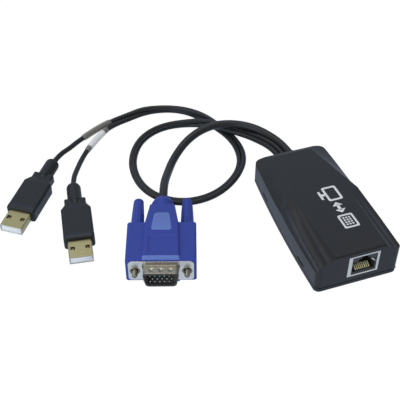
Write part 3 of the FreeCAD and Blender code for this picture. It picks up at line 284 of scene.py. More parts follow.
# %% Cable routes
VIDEO_CORD = 4.5 * MM
USB_CORD = 2.8 * MM
VIDEO_ROUTE = [
    (0.0031, 0.0467, 0.0075), (0.0028, 0.0515, 0.0076), (0.0006, 0.0595, 0.008),
    (-0.0034, 0.0672, 0.0085), (-0.0087, 0.07365, 0.0092), (-0.0159, 0.0789, 0.0094),
    (-0.0234, 0.0818, 0.0093), (-0.0304, 0.0828, 0.0089), (-0.0389, 0.0822, 0.007),
    (-0.04682, 0.07934, 0.0042), (-0.05345, 0.07388, 0.0025), (-0.05935, 0.06648, 0.0024),
    (-0.06415, 0.05808, 0.0036), (-0.06819, 0.04973, 0.0066), (-0.07157, 0.04106, 0.0085),
    (-0.07439, 0.03251, 0.0085),
]
LEFT_ROUTE = [
    (-0.0008, 0.0467, 0.0075), (-0.001, 0.0515, 0.0076), (-0.0031, 0.0583, 0.0079),
    (-0.0065, 0.0656, 0.0074), (-0.0104, 0.0727, 0.0058), (-0.01608, 0.07999, 0.00507),
    (-0.02322, 0.08732, 0.00515), (-0.03206, 0.09316, 0.00548), (-0.04188, 0.09635, 0.00464),
    (-0.05169, 0.09771, 0.00432), (-0.06103, 0.09588, 0.00435), (-0.06949, 0.09095, 0.00436),
    (-0.07596, 0.08319, 0.00429), (-0.08043, 0.07375, 0.00412), (-0.08215, 0.06345, 0.00388),
    (-0.0811, 0.05281, 0.00364), (-0.07669, 0.04341, 0.00343), (-0.06933, 0.03622, 0.00332),
    (-0.06054, 0.03255, 0.00331), (-0.05116, 0.03213, 0.00337), (-0.04218, 0.03449, 0.00348),
    (-0.03401, 0.03918, 0.00363), (-0.02684, 0.04571, 0.00364), (-0.02146, 0.05347, 0.00338),
    (-0.01848, 0.06228, 0.00253), (-0.01766, 0.07184, 0.0015), (-0.0194, 0.08154, 0.0015),
    (-0.0237, 0.0912, 0.00235), (-0.02912, 0.09947, 0.00394), (-0.03598, 0.10647, 0.00434),
    (-0.04362, 0.11137, 0.00427), (-0.0524, 0.11438, 0.00433), (-0.0616, 0.11618, 0.00412),
    (-0.07049, 0.11545, 0.00275), (-0.0794, 0.1139, 0.0022), (-0.0881, 0.1109, 0.002),
    (-0.09623, 0.10651, 0.002), (-0.1039, 0.1019, 0.0021), (-0.1099, 0.0965, 0.003),
    (-0.11618, 0.09196, 0.004), (-0.12064, 0.08685, 0.004),
]
RIGHT_ROUTE = [
    (-0.0038, 0.0467, 0.0075), (-0.0041, 0.0512, 0.0076), (-0.0059, 0.0576, 0.0074),
    (-0.009, 0.0643, 0.0066), (-0.0127, 0.0714, 0.0054), (-0.0184, 0.078, 0.0049),
    (-0.02498, 0.08528, 0.00485), (-0.03274, 0.09164, 0.00332), (-0.04158, 0.09669, 0.00196),
    (-0.05165, 0.09835, 0.00168), (-0.06117, 0.09622, 0.00165), (-0.06935, 0.09081, 0.00164),
    (-0.07519, 0.08274, 0.00171), (-0.07894, 0.07334, 0.00188), (-0.08007, 0.06343, 0.00212),
    (-0.0788, 0.0535, 0.00236), (-0.07462, 0.04494, 0.00257), (-0.06789, 0.03844, 0.00268),
    (-0.05996, 0.03514, 0.00269), (-0.05144, 0.03474, 0.00263), (-0.04313, 0.03685, 0.00252),
    (-0.03543, 0.04112, 0.00237), (-0.02857, 0.0472, 0.00216), (-0.02358, 0.05449, 0.00202),
    (-0.02101, 0.06278, 0.00167), (-0.02038, 0.07175, 0.0015), (-0.022, 0.08076, 0.0015),
    (-0.02604, 0.09006, 0.00158), (-0.03034, 0.09877, 0.00161), (-0.03582, 0.10673, 0.00164),
    (-0.0433, 0.11211, 0.00163), (-0.0523, 0.1149, 0.00164), (-0.0615, 0.1151, 0.00167),
    (-0.07, 0.11275, 0.0018), (-0.07951, 0.11033, 0.0019), (-0.08696, 0.10643, 0.0021),
    (-0.094, 0.09996, 0.0021), (-0.1008, 0.09252, 0.0021), (-0.10603, 0.08508, 0.0021),
    (-0.11041, 0.07658, 0.0032), (-0.1132, 0.07073, 0.004), (-0.11481, 0.0647, 0.004),
]
print("routes:", len(VIDEO_ROUTE), len(LEFT_ROUTE), len(RIGHT_ROUTE), "points")

# %% [markdown]
# Every cable is a piece of its own that takes the place of its CAD tube.

# %% Cables
SPLINE_ORDER, SPAN_STEPS, ROUND_STEPS = 3, 6, 6


def cable(name, route, diameter, node):
    """Round cable along a smooth spline whose control points are the route's points."""
    data = bpy.data.curves.new(name, "CURVE")
    data.dimensions = "3D"
    data.bevel_depth = 1.0
    data.bevel_resolution = ROUND_STEPS
    data.resolution_u = SPAN_STEPS
    data.use_fill_caps = True
    spline = data.splines.new("NURBS")
    spline.points.add(len(route) - 1)
    spline.points.foreach_set("co", np.column_stack([route, np.ones(len(route))]).ravel())
    spline.points.foreach_set("radius", np.full(len(route), diameter / 2))
    spline.order_u = SPLINE_ORDER
    spline.use_endpoint_u = True
    piece = bpy.data.objects.new(name, data)
    bpy.context.scene.collection.objects.link(piece)
    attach(piece, UNIT)
    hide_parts(node)
    return piece


video_cord = cable("video_cord", VIDEO_ROUTE, VIDEO_CORD, "vga_cable")
left_cord = cable("left_usb_cord", LEFT_ROUTE, USB_CORD, "usb_cable_left")
right_cord = cable("right_usb_cord", RIGHT_ROUTE, USB_CORD, "usb_cable_right")
print("cables:", video_cord.name, left_cord.name, right_cord.name)

# %% [markdown]
# Things that sit on a cable follow the cable's own spline.  Blender gives its points when the
# curve is turned into a mesh without its thickness.

# %% Reading a cable's line
def centreline(cord):
    """Points of a cord's spline, in order, read from a copy of the curve with no thickness."""
    line = cord.data.copy()
    line.bevel_depth = 0.0
    holder = bpy.data.objects.new("line", line)
    mesh = bpy.data.meshes.new_from_object(holder)
    points = np.empty(len(mesh.vertices) * 3)
    mesh.vertices.foreach_get("co", points)
    bpy.data.objects.remove(holder)
    bpy.data.meshes.remove(mesh)
    bpy.data.curves.remove(line)
    return points.reshape(-1, 3)


def distances(points):
    """How far along a line each of its points lies."""
    return np.concatenate([[0.0], np.cumsum(np.linalg.norm(np.diff(points, axis=0), axis=1))])


def points_at(places, run, points):
    """A line's points at given distances along it."""
    return np.column_stack([np.interp(places, run, column) for column in points.T])


def stretch(points, near, far, count):
    """Evenly spaced points of a line, from its place nearest to near to that nearest to far."""
    run = distances(points)
    begin, end = (run[np.argmin(np.linalg.norm(points - p, axis=1))] for p in (near, far))
    return points_at(np.linspace(begin, end, count), run, points)


for cord in (video_cord, left_cord, right_cord):
    print(cord.name, "is", round(distances(centreline(cord))[-1] / MM, 1), "mm long")

# %% [markdown]
# ## Step 4: finishes
#
# Moulded plastic is never quite even: the tool's fine texture breaks up its shine, and handling
# polishes it in patches.  One group gives both, and every plastic and rubber uses it with its
# own numbers.

# %% Shader groups
def new_group(name, numbers, colours):
    """Node group with number inputs, colour inputs, and the outputs that all finishes use."""
    group = bpy.data.node_groups.new(name, "ShaderNodeTree")
    face = group.interface
    for kind, inputs in (("NodeSocketColor", colours), ("NodeSocketFloat", numbers)):
        for label, start in inputs.items():
            socket = face.new_socket(name=label, in_out="INPUT", socket_type=kind)
            socket.default_value = start
    face.new_socket(name="Color", in_out="OUTPUT", socket_type="NodeSocketColor")
    face.new_socket(name="Roughness", in_out="OUTPUT", socket_type="NodeSocketFloat")
    face.new_socket(name="Height", in_out="OUTPUT", socket_type="NodeSocketFloat")
    return group, group.nodes.new("NodeGroupInput"), group.nodes.new("NodeGroupOutput")


def noise_node(tree, place, scale, detail):
    """Noise between 0 and 1 at a scale per metre, given as a number or an output."""
    node = tree.nodes.new("ShaderNodeTexNoise")
    node.inputs["Detail"].default_value = detail
    tree.links.new(place, node.inputs["Vector"])
    feed(tree, node.inputs["Scale"], scale)
    return node.outputs["Fac"]


def swung_roughness(group, given, noise):
    """Roughness + Patches x (noise - 0.5)."""
    centred = math_node(group, "SUBTRACT", noise, 0.5)
    swing = math_node(group, "MULTIPLY", centred, given.outputs["Patches"])
    return math_node(group, "ADD", given.outputs["Roughness"], swing)


PATCHES_PER_METRE, STAINS_PER_METRE = 60.0, 240.0
WORN_SHARE, STAINED_SHARE, DRAWN_OUT = 0.8, 0.6, (1.0, 0.06, 1.0)
PATCH_DETAIL, GRAIN_DETAIL, STREAK_DETAIL, STAIN_DETAIL = 3.0, 2.0, 2.0, 4.0


def moulded_skin_group():
    """Grain is fine noise; worn patches are slow noise that lowers roughness and tints."""
    group, given, made = new_group(
        "moulded_skin", {"Grain": 2600.0, "Roughness": 0.45, "Patches": 0.08},
        {"Color": (0.03, 0.03, 0.03, 1), "Worn Color": (0.05, 0.05, 0.05, 1)})
    place = group.nodes.new("ShaderNodeTexCoord").outputs["Object"]
    patches = noise_node(group, place, PATCHES_PER_METRE, PATCH_DETAIL)
    grain = noise_node(group, place, given.outputs["Grain"], GRAIN_DETAIL)
    group.links.new(swung_roughness(group, given, patches), made.inputs["Roughness"])
    worn = math_node(group, "MULTIPLY", math_node(group, "MULTIPLY", patches, grain), WORN_SHARE)
    group.links.new(mix_colours(group, worn, given.outputs["Color"], given.outputs["Worn Color"]),
                    made.inputs["Color"])
    group.links.new(grain, made.inputs["Height"])
    return group


def rolled_metal_group():
    """Long fine streaks along one axis, with slow stains that darken the plating."""
    group, given, made = new_group(
        "rolled_metal", {"Streaks": 900.0, "Roughness": 0.28, "Patches": 0.12},
        {"Color": (0.7, 0.65, 0.5, 1), "Worn Color": (0.45, 0.4, 0.3, 1)})
    place = group.nodes.new("ShaderNodeTexCoord").outputs["Object"]
    along = group.nodes.new("ShaderNodeMapping")
    along.inputs["Scale"].default_value = DRAWN_OUT
    group.links.new(place, along.inputs["Vector"])
    streaks = noise_node(group, along.outputs["Vector"], given.outputs["Streaks"],
                         STREAK_DETAIL)
    stains = noise_node(group, place, STAINS_PER_METRE, STAIN_DETAIL)
    group.links.new(swung_roughness(group, given, stains), made.inputs["Roughness"])
    share = math_node(group, "MULTIPLY", stains, STAINED_SHARE)
    group.links.new(mix_colours(group, share, given.outputs["Color"], given.outputs["Worn Color"]),
                    made.inputs["Color"])
    group.links.new(streaks, made.inputs["Height"])
    return group


MOULDED_SKIN = moulded_skin_group()
ROLLED_METAL = rolled_metal_group()
print("groups:", MOULDED_SKIN.name, ROLLED_METAL.name)

# %% [markdown]
# A finish is one of these groups, a bump node that turns its height into small slopes, and the
# shader's own plain numbers, such as how strong its gloss is.

# %% How a finish is made
BUMP_DEEP = 0.02 * MM
FINISHES = {}


def finish(name, group, colour, worn, bump, plain, **numbers):
    """Make and keep a material that takes its colour, roughness and height from a group; plain
    sets the shader's own sockets, and numbers the group's."""
    material, tree, shader, _ = material_named(name)
    node = tree.nodes.new("ShaderNodeGroup")
    node.node_tree = group
    node.inputs["Color"].default_value = (*colour, 1)
    node.inputs["Worn Color"].default_value = (*worn, 1)
    for label, value in numbers.items():
        node.inputs[label].default_value = value
    tree.links.new(node.outputs["Color"], shader.inputs["Base Color"])
    tree.links.new(node.outputs["Roughness"], shader.inputs["Roughness"])
    slopes = tree.nodes.new("ShaderNodeBump")
    slopes.inputs["Strength"].default_value = bump
    slopes.inputs["Distance"].default_value = BUMP_DEEP
    tree.links.new(node.outputs["Height"], slopes.inputs["Height"])
    tree.links.new(slopes.outputs["Normal"], shader.inputs["Normal"])
    for label, value in (plain or {}).items():
        shader.inputs[label].default_value = value
    FINISHES[name] = material


def plastic(name, colour, worn, bump, grain, roughness, plain=None):
    """Finish with the moulded skin, its grain given per metre."""
    finish(name, MOULDED_SKIN, colour, worn, bump, plain, Grain=grain, Roughness=roughness)


def metal(name, colour, worn, bump, roughness, metallic=1.0):
    """Finish with the streaks and stains of rolled sheet."""
    finish(name, ROLLED_METAL, colour, worn, bump, {"Metallic": metallic}, Roughness=roughness)


print("bump:", BUMP_DEEP / MM, "mm deep")

# %% [markdown]
# These are the record's own slots.  The metals are rolled or drawn sheet.  Black plastics and the
# cable jacket have a cool, weak sheen, as the picture shows on their upright faces.

# %% Finishes of the record's slots
BLUE_SHEEN = {"Specular Tint": (0.92, 0.96, 1.0, 1), "Specular IOR Level": 0.32}
DULL = {"Specular IOR Level": 0.3}
# In each row: colour, worn colour, bump, for plastics the grain per metre, and roughness.
plastic("housing_plastic", (0.0132, 0.0125, 0.0122),
        (0.020, 0.019, 0.0185), 0.5, 2600, 0.42, BLUE_SHEEN)
plastic("circuit_green", (0.02, 0.13, 0.05), (0.03, 0.17, 0.07), 0.2, 900, 0.3)
plastic("chip_black", (0.015, 0.015, 0.016), (0.03, 0.03, 0.03), 0.4, 5000, 0.5)
metal("tinned_metal", (0.78, 0.73, 0.64), (0.58, 0.54, 0.46), 0.3, 0.34)
metal("can_metal", (0.75, 0.76, 0.77), (0.6, 0.6, 0.6), 0.3, 0.3)
plastic("header_white", (0.75, 0.74, 0.68), (0.65, 0.63, 0.57), 0.3, 3000, 0.5)
plastic("wire_plastic", (0.42, 0.03, 0.025), (0.5, 0.06, 0.05), 0.2, 2000, 0.35)
plastic("insert_black", (0.026, 0.026, 0.026), (0.040, 0.040, 0.040), 0.4, 4000, 0.48)
metal("gold_contact", (0.46, 0.42, 0.33), (0.34, 0.30, 0.22), 0.2, 0.3)
plastic("grommet_rubber", (0.011, 0.0115, 0.012), (0.018, 0.018, 0.019), 0.6, 3500, 0.6, DULL)
plastic("cable_jacket", (0.0145, 0.0145, 0.0142),
        (0.022, 0.022, 0.022), 0.5, 1800, 0.42, BLUE_SHEEN)
plastic("plug_black", (0.0115, 0.0125, 0.013), (0.018, 0.019, 0.020), 0.5, 3200, 0.46, BLUE_SHEEN)
plastic("plug_blue", (0.026, 0.048, 0.315), (0.034, 0.064, 0.36), 0.4, 2800, 0.46, DULL)
metal("shell_nickel", (0.43, 0.38, 0.19), (0.31, 0.27, 0.13), 0.3, 0.32)
metal("flange_tin", (0.88, 0.84, 0.78), (0.46, 0.42, 0.36), 0.6, 0.38)
plastic("tongue_white", (0.84, 0.85, 0.86), (0.76, 0.77, 0.78), 0.2, 3000, 0.4)
plastic("clear_sleeve", (0.26, 0.25, 0.22), (0.36, 0.34, 0.30), 0.6, 1500, 0.28, {"Alpha": 0.6})
plastic("label_white", (0.84, 0.85, 0.84), (0.66, 0.67, 0.66), 0.5, 1200, 0.4)
print("slots:", len(FINISHES))

# %% [markdown]
# Some pieces differ from the rest of their slot: darker and browned plating, cut edges, the paler
# parts of the hood, and the ink.  Several of these colours are painted light and shade: the
# D-shell's darker tin and the USB springs' dark brown are painted shade, and the jack contacts'
# bright gold and the hood band's pale blue are painted light.  Then every CAD node and every cable
# is dressed.

# %% Looks within a slot
# On the hood's front band this pale blue is painted light, the glow of a slope that faces the
# lamps.
plastic("pale_blue", (0.112, 0.18, 0.51), (0.15, 0.22, 0.56), 0.9, 1400, 0.5, DULL)
# On the D-shell this darker tin is painted shade: the shell is one piece of plated steel with the
# bright flange.
metal("dark_tin", (0.30, 0.285, 0.23), (0.17, 0.15, 0.10), 0.4, 0.34)
metal("brown_tin", (0.30, 0.25, 0.13), (0.20, 0.16, 0.08), 0.4, 0.34)
metal("pin_nickel", (0.66, 0.67, 0.66), (0.5, 0.5, 0.48), 0.2, 0.3)
metal("cut_edge", (0.62, 0.63, 0.62), (0.50, 0.49, 0.44), 0.3, 0.35)
# This dark brown is painted shade: the shade of the hollow windows that the springs sit in.
metal("spring_shade_brown", (0.16, 0.11, 0.06), (0.08, 0.05, 0.03), 0.3, 0.4)
plastic("band_black", (0.0125, 0.0135, 0.020), (0.018, 0.020, 0.028), 0.4, 3200, 0.4, BLUE_SHEEN)
# This bright gold is painted light: the jack's contacts lie in the shade of its mouth.
metal("gold_painted_light", (0.95, 0.86, 0.50), (0.80, 0.70, 0.38), 0.2, 0.4, 0.4)
plastic("print_white", (0.80, 0.81, 0.82), (0.76, 0.77, 0.78), 0.2, 3000, 0.5)


def dress(piece, look):
    """Give a piece one finish, as its only material."""
    piece.data.materials.clear()
    piece.data.materials.append(FINISHES[look])


NODE_SLOTS = {row["node"]: row["material_slot"] for row in frame["record"]["subparts"]}
for node_name, node in nodes.items():
    dress(node, NODE_SLOTS[node_name])
dress(nodes["vga_pins"], "pin_nickel")
for cord in (video_cord, left_cord, right_cord):
    dress(cord, "cable_jacket")
print("finishes:", len(FINISHES))

# %% [markdown]
# ## Step 5: the small things
#
# What follows is drawn as surfaces: a grid of points worked out from two parameters, or a
# closed outline carried along a path.  Each plug has its own frame, in millimetres, with y
# running back from its front face along the cable.

# %% Plugs' frames and outlines
VIDEO_PLUG = ((-89.11, -12.13), -18.25)
USB_PLUGS = {"left": ((-145.32, 52.13), -35.4), "right": ((-121.11, 22.57), -8.5)}
VIDEO_AXIS = 8.5
USB_AXIS = 4.0
ARC_POINTS = 9


def at_plug(points, plug):
    """Points in a plug's frame, turned about the upright, moved to the plug and put in metres."""
    (across, along), degrees = plug
    cosine, sine = math.cos(math.radians(degrees)), math.sin(math.radians(degrees))
    x, y, z = np.moveaxis(np.asarray(points, float), -1, 0)
    turned_x, turned_y = across + x * cosine - y * sine, along + x * sine + y * cosine
    return MM * np.stack([turned_x, turned_y, z], axis=-1)


def rounded(corners, radius, count):
    """Closed outline of a convex polygon: each corner is a quadratic arc between the points that
    lie radius before and after it; the whole is then sampled evenly along its length."""
    corners = np.asarray(corners, float)
    start, end = (corners + radius * way / np.linalg.norm(way, axis=1, keepdims=True)
                  for way in (np.roll(corners, step, axis=0) - corners for step in (1, -1)))
    t = np.linspace(0, 1, ARC_POINTS)[None, :, None]
    arcs = ((1 - t) ** 2 * start[:, None] + 2 * t * (1 - t) * corners[:, None]
            + t ** 2 * end[:, None])
    line = arcs.reshape(-1, 2)
    line = np.vstack([line, line[:1]])
    run = distances(line)
    return points_at(np.linspace(0, run[-1], count, endpoint=False), run, line)


def box_corners(left, low, right, high):
    """Corners of an upright rectangle, counted against the clock."""
    return [(left, low), (right, low), (right, high), (left, high)]


print("plugs at", VIDEO_PLUG, USB_PLUGS)

# %% [markdown]
# One function turns a grid of points into a finished piece.  It closes the end rings where the
# real thing is solid, and it turns the faces outward, because a face that looks inward would be
# lost when the model is used elsewhere.

# %% Surfaces
def wound_outward(points, faces):
    """True where the volume between the quads and the points' middle comes out above zero."""
    middle = points.mean(axis=0)
    a, b, c, d = (points[faces[:, k]] - middle for k in range(4))
    return (a * np.cross(b, c)).sum() + (a * np.cross(c, d)).sum() > 0


def wound_upward(points, faces):
    """True where the upright parts of the quads' normals add up to more than zero."""
    a, b, c = (points[faces[:, k]] for k in range(3))
    return np.cross(b - a, c - b)[:, 2].sum() > 0


def surface(name, grid, slot, look=None, body=UNIT, around=True, caps="", smooth=True, up=False):
    """Piece from a grid of points in metres; caps says which end rings, first or last, are closed.
    With up, an open sheet is wound to face upward instead of by its volume."""
    rows, columns = grid.shape[:2]
    points = grid.reshape(-1, 3)
    faces = grid_faces(rows, columns, around)
    well_wound = (wound_upward if up else wound_outward)(points, faces)
    faces = faces.tolist()
    if "first" in caps:
        faces.append(list(range(columns))[::-1])
    if "last" in caps:
        faces.append([(rows - 1) * columns + k for k in range(columns)])
    if not well_wound:
        faces = [face[::-1] for face in faces]
    piece = new_mesh(name, points, faces, smooth)
    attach(piece, body)
    dress(piece, look or slot)
    return piece


print("a closed grid of 3 by 4 points has", len(grid_faces(3, 4, True)), "faces")

# %% [markdown]
# Three kinds of grid come back again and again: a low cushion on a face, a turned shape, and an
# outline that is carried along and grows or shrinks on its way.

# %% Grids
def cushion(outline, stations, height):
    """Rings of an outline drawn in towards its middle, each at a lift above a height of x and y."""
    middle = outline.mean(axis=0)
    rings = []
    for share, lift in stations:
        flat = middle + share * (outline - middle)
        rings.append(np.column_stack([flat, height(flat[:, 0], flat[:, 1]) + lift]))
    return np.array(rings)


def turned(profile, axis_x, axis_z, count):
    """Rings about an axis along y, from (y, radius) pairs."""
    turn = np.linspace(0, 2 * math.pi, count, endpoint=False)
    profile = np.asarray(profile, float)
    rings = np.empty((len(profile), count, 3))
    rings[..., 0] = axis_x + profile[:, 1:] * np.cos(turn)
    rings[..., 1] = profile[:, :1]
    rings[..., 2] = axis_z + profile[:, 1:] * np.sin(turn)
    return rings


def sleeve_rings(outline, stations, middle):
    """A closed outline in x and z carried along y: each station says y and how far to grow it."""
    outline = np.asarray(outline, float)
    reach = np.abs(outline - middle).max(axis=0)
    rings = np.empty((len(stations), len(outline), 3))
    for row, (place, grow) in enumerate(stations):
        grown = middle + (outline - middle) * (1 + grow / reach)
        rings[row] = np.column_stack([grown[:, 0], np.full(len(outline), place), grown[:, 1]])
    return rings


print("a turned profile of 2 points:", turned([(0, 1), (1, 1)], 0, 0, 8).shape)

# %% [markdown]
# The blue hood's top is not one flat face.  It carries a sunk panel near the front, and its
# middle part runs on down the tail.  A sheet of points over the CAD core gives both: its height
# is the core's own height plus a thin skin, less a panel whose walls lean.

# %% Hood top
SKIN = 0.4
PANEL_HALF, PANEL_START, PANEL_END, PANEL_DEEP, PANEL_WALL = 6.2, 3.6, 15.05, 0.32, 0.35
CORE_START, CORE_FRONT, CORE_REAR, TAIL_END = 0.8, 2.05, 24.0, 39.1
CORE_TOP, CORE_HALF, CORE_TAPER = 17.0, 8.8, 0.6
TAIL_LONG, TAIL_FALL, TAIL_TAPER = 15.2, 2.6, 2.0
EDGE_ROUND, EDGE_STARTS, SIDE_LAP, LAP_FLARE, PROUD = 0.3, 0.94, 0.4, 1.002, 0.03
HOOD_ROWS, HOOD_COLUMNS = 150, 61


def hood_top(y):
    """Height of the upper face: level over the core, then falling straight to the tail's end."""
    return CORE_TOP - TAIL_FALL * np.clip((y - CORE_REAR) / TAIL_LONG, 0, 1)


def hood_half(y):
    """Half width of the same face: slightly tapered, then narrowing along the tail."""
    core = CORE_HALF - CORE_TAPER * (y - CORE_START) / (CORE_REAR - CORE_START)
    tail = CORE_HALF - CORE_TAPER - TAIL_TAPER * (y - CORE_REAR) / TAIL_LONG
    return np.where(y < CORE_REAR, core, tail)


def ramp(value, start, end):
    """Zero up to start, one from end, with a soft step between."""
    share = np.clip((value - start) / (end - start), 0, 1)
    return share * share * (3 - 2 * share)


def hood_sheet():
    """Width by length grid; the outer columns bend down over the core's long edges."""
    y = np.linspace(CORE_FRONT, TAIL_END, HOOD_ROWS)[:, None]
    u = np.concatenate([[-1.0], np.linspace(-1, 1, HOOD_COLUMNS), [1.0]])[None, :]
    x = u * (hood_half(y) + PROUD)
    inside = (ramp(PANEL_HALF - np.abs(x), 0, PANEL_WALL) * ramp(y - PANEL_START, 0, PANEL_WALL)
              * ramp(PANEL_END - y, 0, PANEL_WALL))
    edge = EDGE_ROUND * ramp(np.abs(u), EDGE_STARTS, 1.0)
    z = hood_top(y) + SKIN - PANEL_DEEP * inside - edge + 0 * x
    z[:, [0, -1]] = hood_top(y) - SIDE_LAP
    x[:, [0, -1]] *= LAP_FLARE
    return np.stack([x, y + 0 * x, z], axis=-1)


hood_skin = surface("hood_top_skin", at_plug(hood_sheet(), VIDEO_PLUG), "plug_blue",
                    around=False, up=True)
print("hood skin:", len(hood_skin.data.polygons), "faces")

# %% [markdown]
# In front of the panel the hood slopes down to the flange in a bowed band, and behind it lies a
# raised thumb pad.  Both are paler than the rest; on the band the paler blue is painted light, the
# glow where its slope faces the lamps.

# %% Hood band and thumb pad
FRONT_START, FRONT_RUN, FRONT_DROP, FRONT_BOW, FRONT_HALF = 2.2, 1.5, 1.9, 0.18, 8.82
FRONT_TUCK, CORNER_ROUND, CORNER_STARTS = 0.02, 0.35, 0.96
PAD_CORNERS = [(-5.2, 18.6), (5.2, 18.6), (3.75, 31.9), (-3.75, 31.9)]
PAD_RADIUS, PAD_SUNK = 2.0, 0.05
PAD_STATIONS = [(1.0, 0.0), (0.995, 0.2), (0.97, 0.34), (0.93, 0.4), (0.75, 0.44), (0.5, 0.48),
                (0.25, 0.5), (0.06, 0.5)]


def front_band():
    """Sloping band from the panel's front edge down to the flange, a little proud of the core."""
    t = np.linspace(0, 1, 9)[:, None]
    u = np.linspace(-1, 1, 31)[None, :]
    bow = FRONT_BOW * np.sin(math.pi * t)
    y = FRONT_START - FRONT_RUN * t - bow + 0 * u
    corner = CORNER_ROUND * ramp(np.abs(u), CORNER_STARTS, 1.0)
    z = CORE_TOP + SKIN - FRONT_TUCK - FRONT_DROP * t + bow - corner
    return np.stack([FRONT_HALF * u + 0 * t, y, z], axis=-1)


# The band's pale blue is painted light, where its slope faces the lamps.
surface("hood_front_band", at_plug(front_band(), VIDEO_PLUG), "plug_blue", "pale_blue",
        around=False, up=True)
pad = rounded(PAD_CORNERS, PAD_RADIUS, 96)
pad_rings = cushion(pad, PAD_STATIONS, lambda x, y: hood_top(y) + SKIN - PAD_SUNK)
surface("hood_thumb_pad", at_plug(pad_rings, VIDEO_PLUG), "plug_blue", "pale_blue", caps="last")
print("thumb pad:", np.ptp(pad, axis=0).round(1), "mm")

# %% [markdown]
# Behind the tail the overmould runs out in a collar that grips the cable.  On the real plug it
# is one soft moulding with a few rings that let it flex.

# %% Collar
COLLAR = [(38.7, 5.5), (38.9, 6.1), (39.6, 6.2), (40.9, 6.15), (41.1, 5.9), (41.6, 5.9),
          (41.8, 6.1), (42.7, 6.05), (42.9, 5.8), (43.4, 5.75), (43.6, 5.95), (44.5, 5.85),
          (45.2, 5.45), (46.0, 5.1), (46.8, 4.75), (47.15, 4.3), (47.25, 2.3)]
surface("hood_collar", at_plug(turned(COLLAR, 0.0, VIDEO_AXIS, 48), VIDEO_PLUG), "plug_blue",
        caps="first last")
print("collar:", round(COLLAR[-1][0] - COLLAR[0][0], 2), "mm long")

# %% [markdown]
# The D-shaped shell is drawn from thin plated steel.  Its root flares into the flange, its edge
# is rolled inward, and three dimples on the long side grip the socket.  The CAD shell keeps
# the standard size; this skin lies 0.3 millimetres outside it, as wide as the picture shows it.

# %% D-shell
D_CORNERS = [(-8.45, 4.1), (-7.0, -4.1), (7.0, -4.1), (8.45, 4.1)]
D_MIDDLE = np.array([0.0, VIDEO_AXIS])
D_ROUND, D_OUTSIDE, D_PLACES = 1.8, 0.3, np.linspace(-1.0, -5.5, 18)
D_ROOT = [(-0.03, 0.95), (-0.15, 0.6), (-0.4, 0.38), (-0.8, 0.3)]
D_EDGE = [(-5.8, 0.24), (-6.0, 0.08), (-6.06, -0.1), (-6.0, -0.3), (-5.8, -0.43), (-4.4, -0.46)]
DIMPLES = [(-4.5, -3.2), (0.0, -3.2), (4.5, -3.2)]
DIMPLE_RADIUS, DIMPLE_DEPTH, DIMPLES_ABOVE = 0.75, 0.28, 4.2
d_outline = rounded(D_CORNERS, D_ROUND, 180) + D_MIDDLE
d_stations = D_ROOT + [(y, D_OUTSIDE) for y in D_PLACES] + D_EDGE
d_rings = sleeve_rings(d_outline, d_stations, D_MIDDLE)
on_top = d_rings[..., 2] > VIDEO_AXIS + DIMPLES_ABOVE
for dimple_x, dimple_y in DIMPLES:
    away = np.hypot(d_rings[..., 0] - dimple_x, d_rings[..., 1] - dimple_y) / DIMPLE_RADIUS
    d_rings[..., 2] -= on_top * DIMPLE_DEPTH * np.exp(-away ** 2)
# The skin is dressed in darker tin than the flange it is one piece with: painted shade.
surface("video_shell_skin", at_plug(d_rings, VIDEO_PLUG), "flange_tin", "dark_tin")
# A black ring wrapped over the shell's rolled lip is painted shade: it darkens the mouth as the
# shade inside the opening does.
D_SHADE_LINING = [(-5.6, 0.28), (-5.7, 0.36), (-5.95, 0.34), (-6.1, 0.18), (-6.14, -0.2),
              (-6.0, -0.5), (-4.6, -0.52)]
lining_rings = sleeve_rings(d_outline, D_SHADE_LINING, D_MIDDLE)
surface("video_shade_lining", at_plug(lining_rings, VIDEO_PLUG), "insert_black")
print("D-shell:", np.ptp(d_rings[..., 0]).round(2), "mm wide at its root")

# %% [markdown]
# A thumbscrew's end carries a rolled thread, forty turns to the inch.  Its radius is a wave
# whose crest climbs by one pitch with each turn.  The grip behind it is moulded: its radius is
# a straight taper, a slight bow, and the wave of its flutes.

# %% Screw and grip shapes
THREAD_PITCH = 0.635
SCREW_RADIUS, SCREW_CORE, THREAD_DEEP = 1.42, 1.15, 0.24
SCREW_TIP, THREAD_END, POINT, SCREW_SIDES = -3.6, -0.2, 0.4, 32
CORE_PLACES = [[-0.12], [20.0], [37.0]]
FLUTES, FLUTE_DEEP = 14, 0.13
GRIP_STARTS, GRIP_TAPERS, GRIP_ENDS, DOME_LONG = 26.6, 27.8, 46.9, 1.6
GRIP_WIDE, GRIP_TAPER, GRIP_BOW = 3.4, 0.8, 0.644
DOME_WIDE, DOME_FALL, CHAMFER_WIDE, CHAMFER_TO = 2.6, 1.7, 3.25, 26.4
FLUTES_RISE, FLUTES_FALL = (28.0, 29.5), (45.0, 46.6)
CHAMFER_PLACES, DOME_PLACES = [26.3, 26.45], [47.4, 47.9, 48.3, 48.5]


def about_screw(radius, y, turn):
    """Points at a radius and a turn about the screw's axis, y along it."""
    return np.stack([radius * np.cos(turn), y + 0 * turn, VIDEO_AXIS + radius * np.sin(turn)],
                    axis=-1)


def screw_rings():
    """Radius against place and turn: a pointed, threaded end, then the plain core."""
    turn = np.linspace(0, 2 * math.pi, SCREW_SIDES, endpoint=False)[None, :]
    y = np.linspace(SCREW_TIP, THREAD_END, 56)[:, None]
    wave = 0.5 + 0.5 * np.cos(2 * math.pi * (y / THREAD_PITCH) - turn)
    point = POINT * (1 - np.clip((y - SCREW_TIP) / POINT, 0, 1))
    radius = SCREW_RADIUS - THREAD_DEEP * wave - point
    radius = np.vstack([radius, np.full((len(CORE_PLACES), SCREW_SIDES), SCREW_CORE)])
    return about_screw(radius, np.vstack([y, CORE_PLACES]), turn)


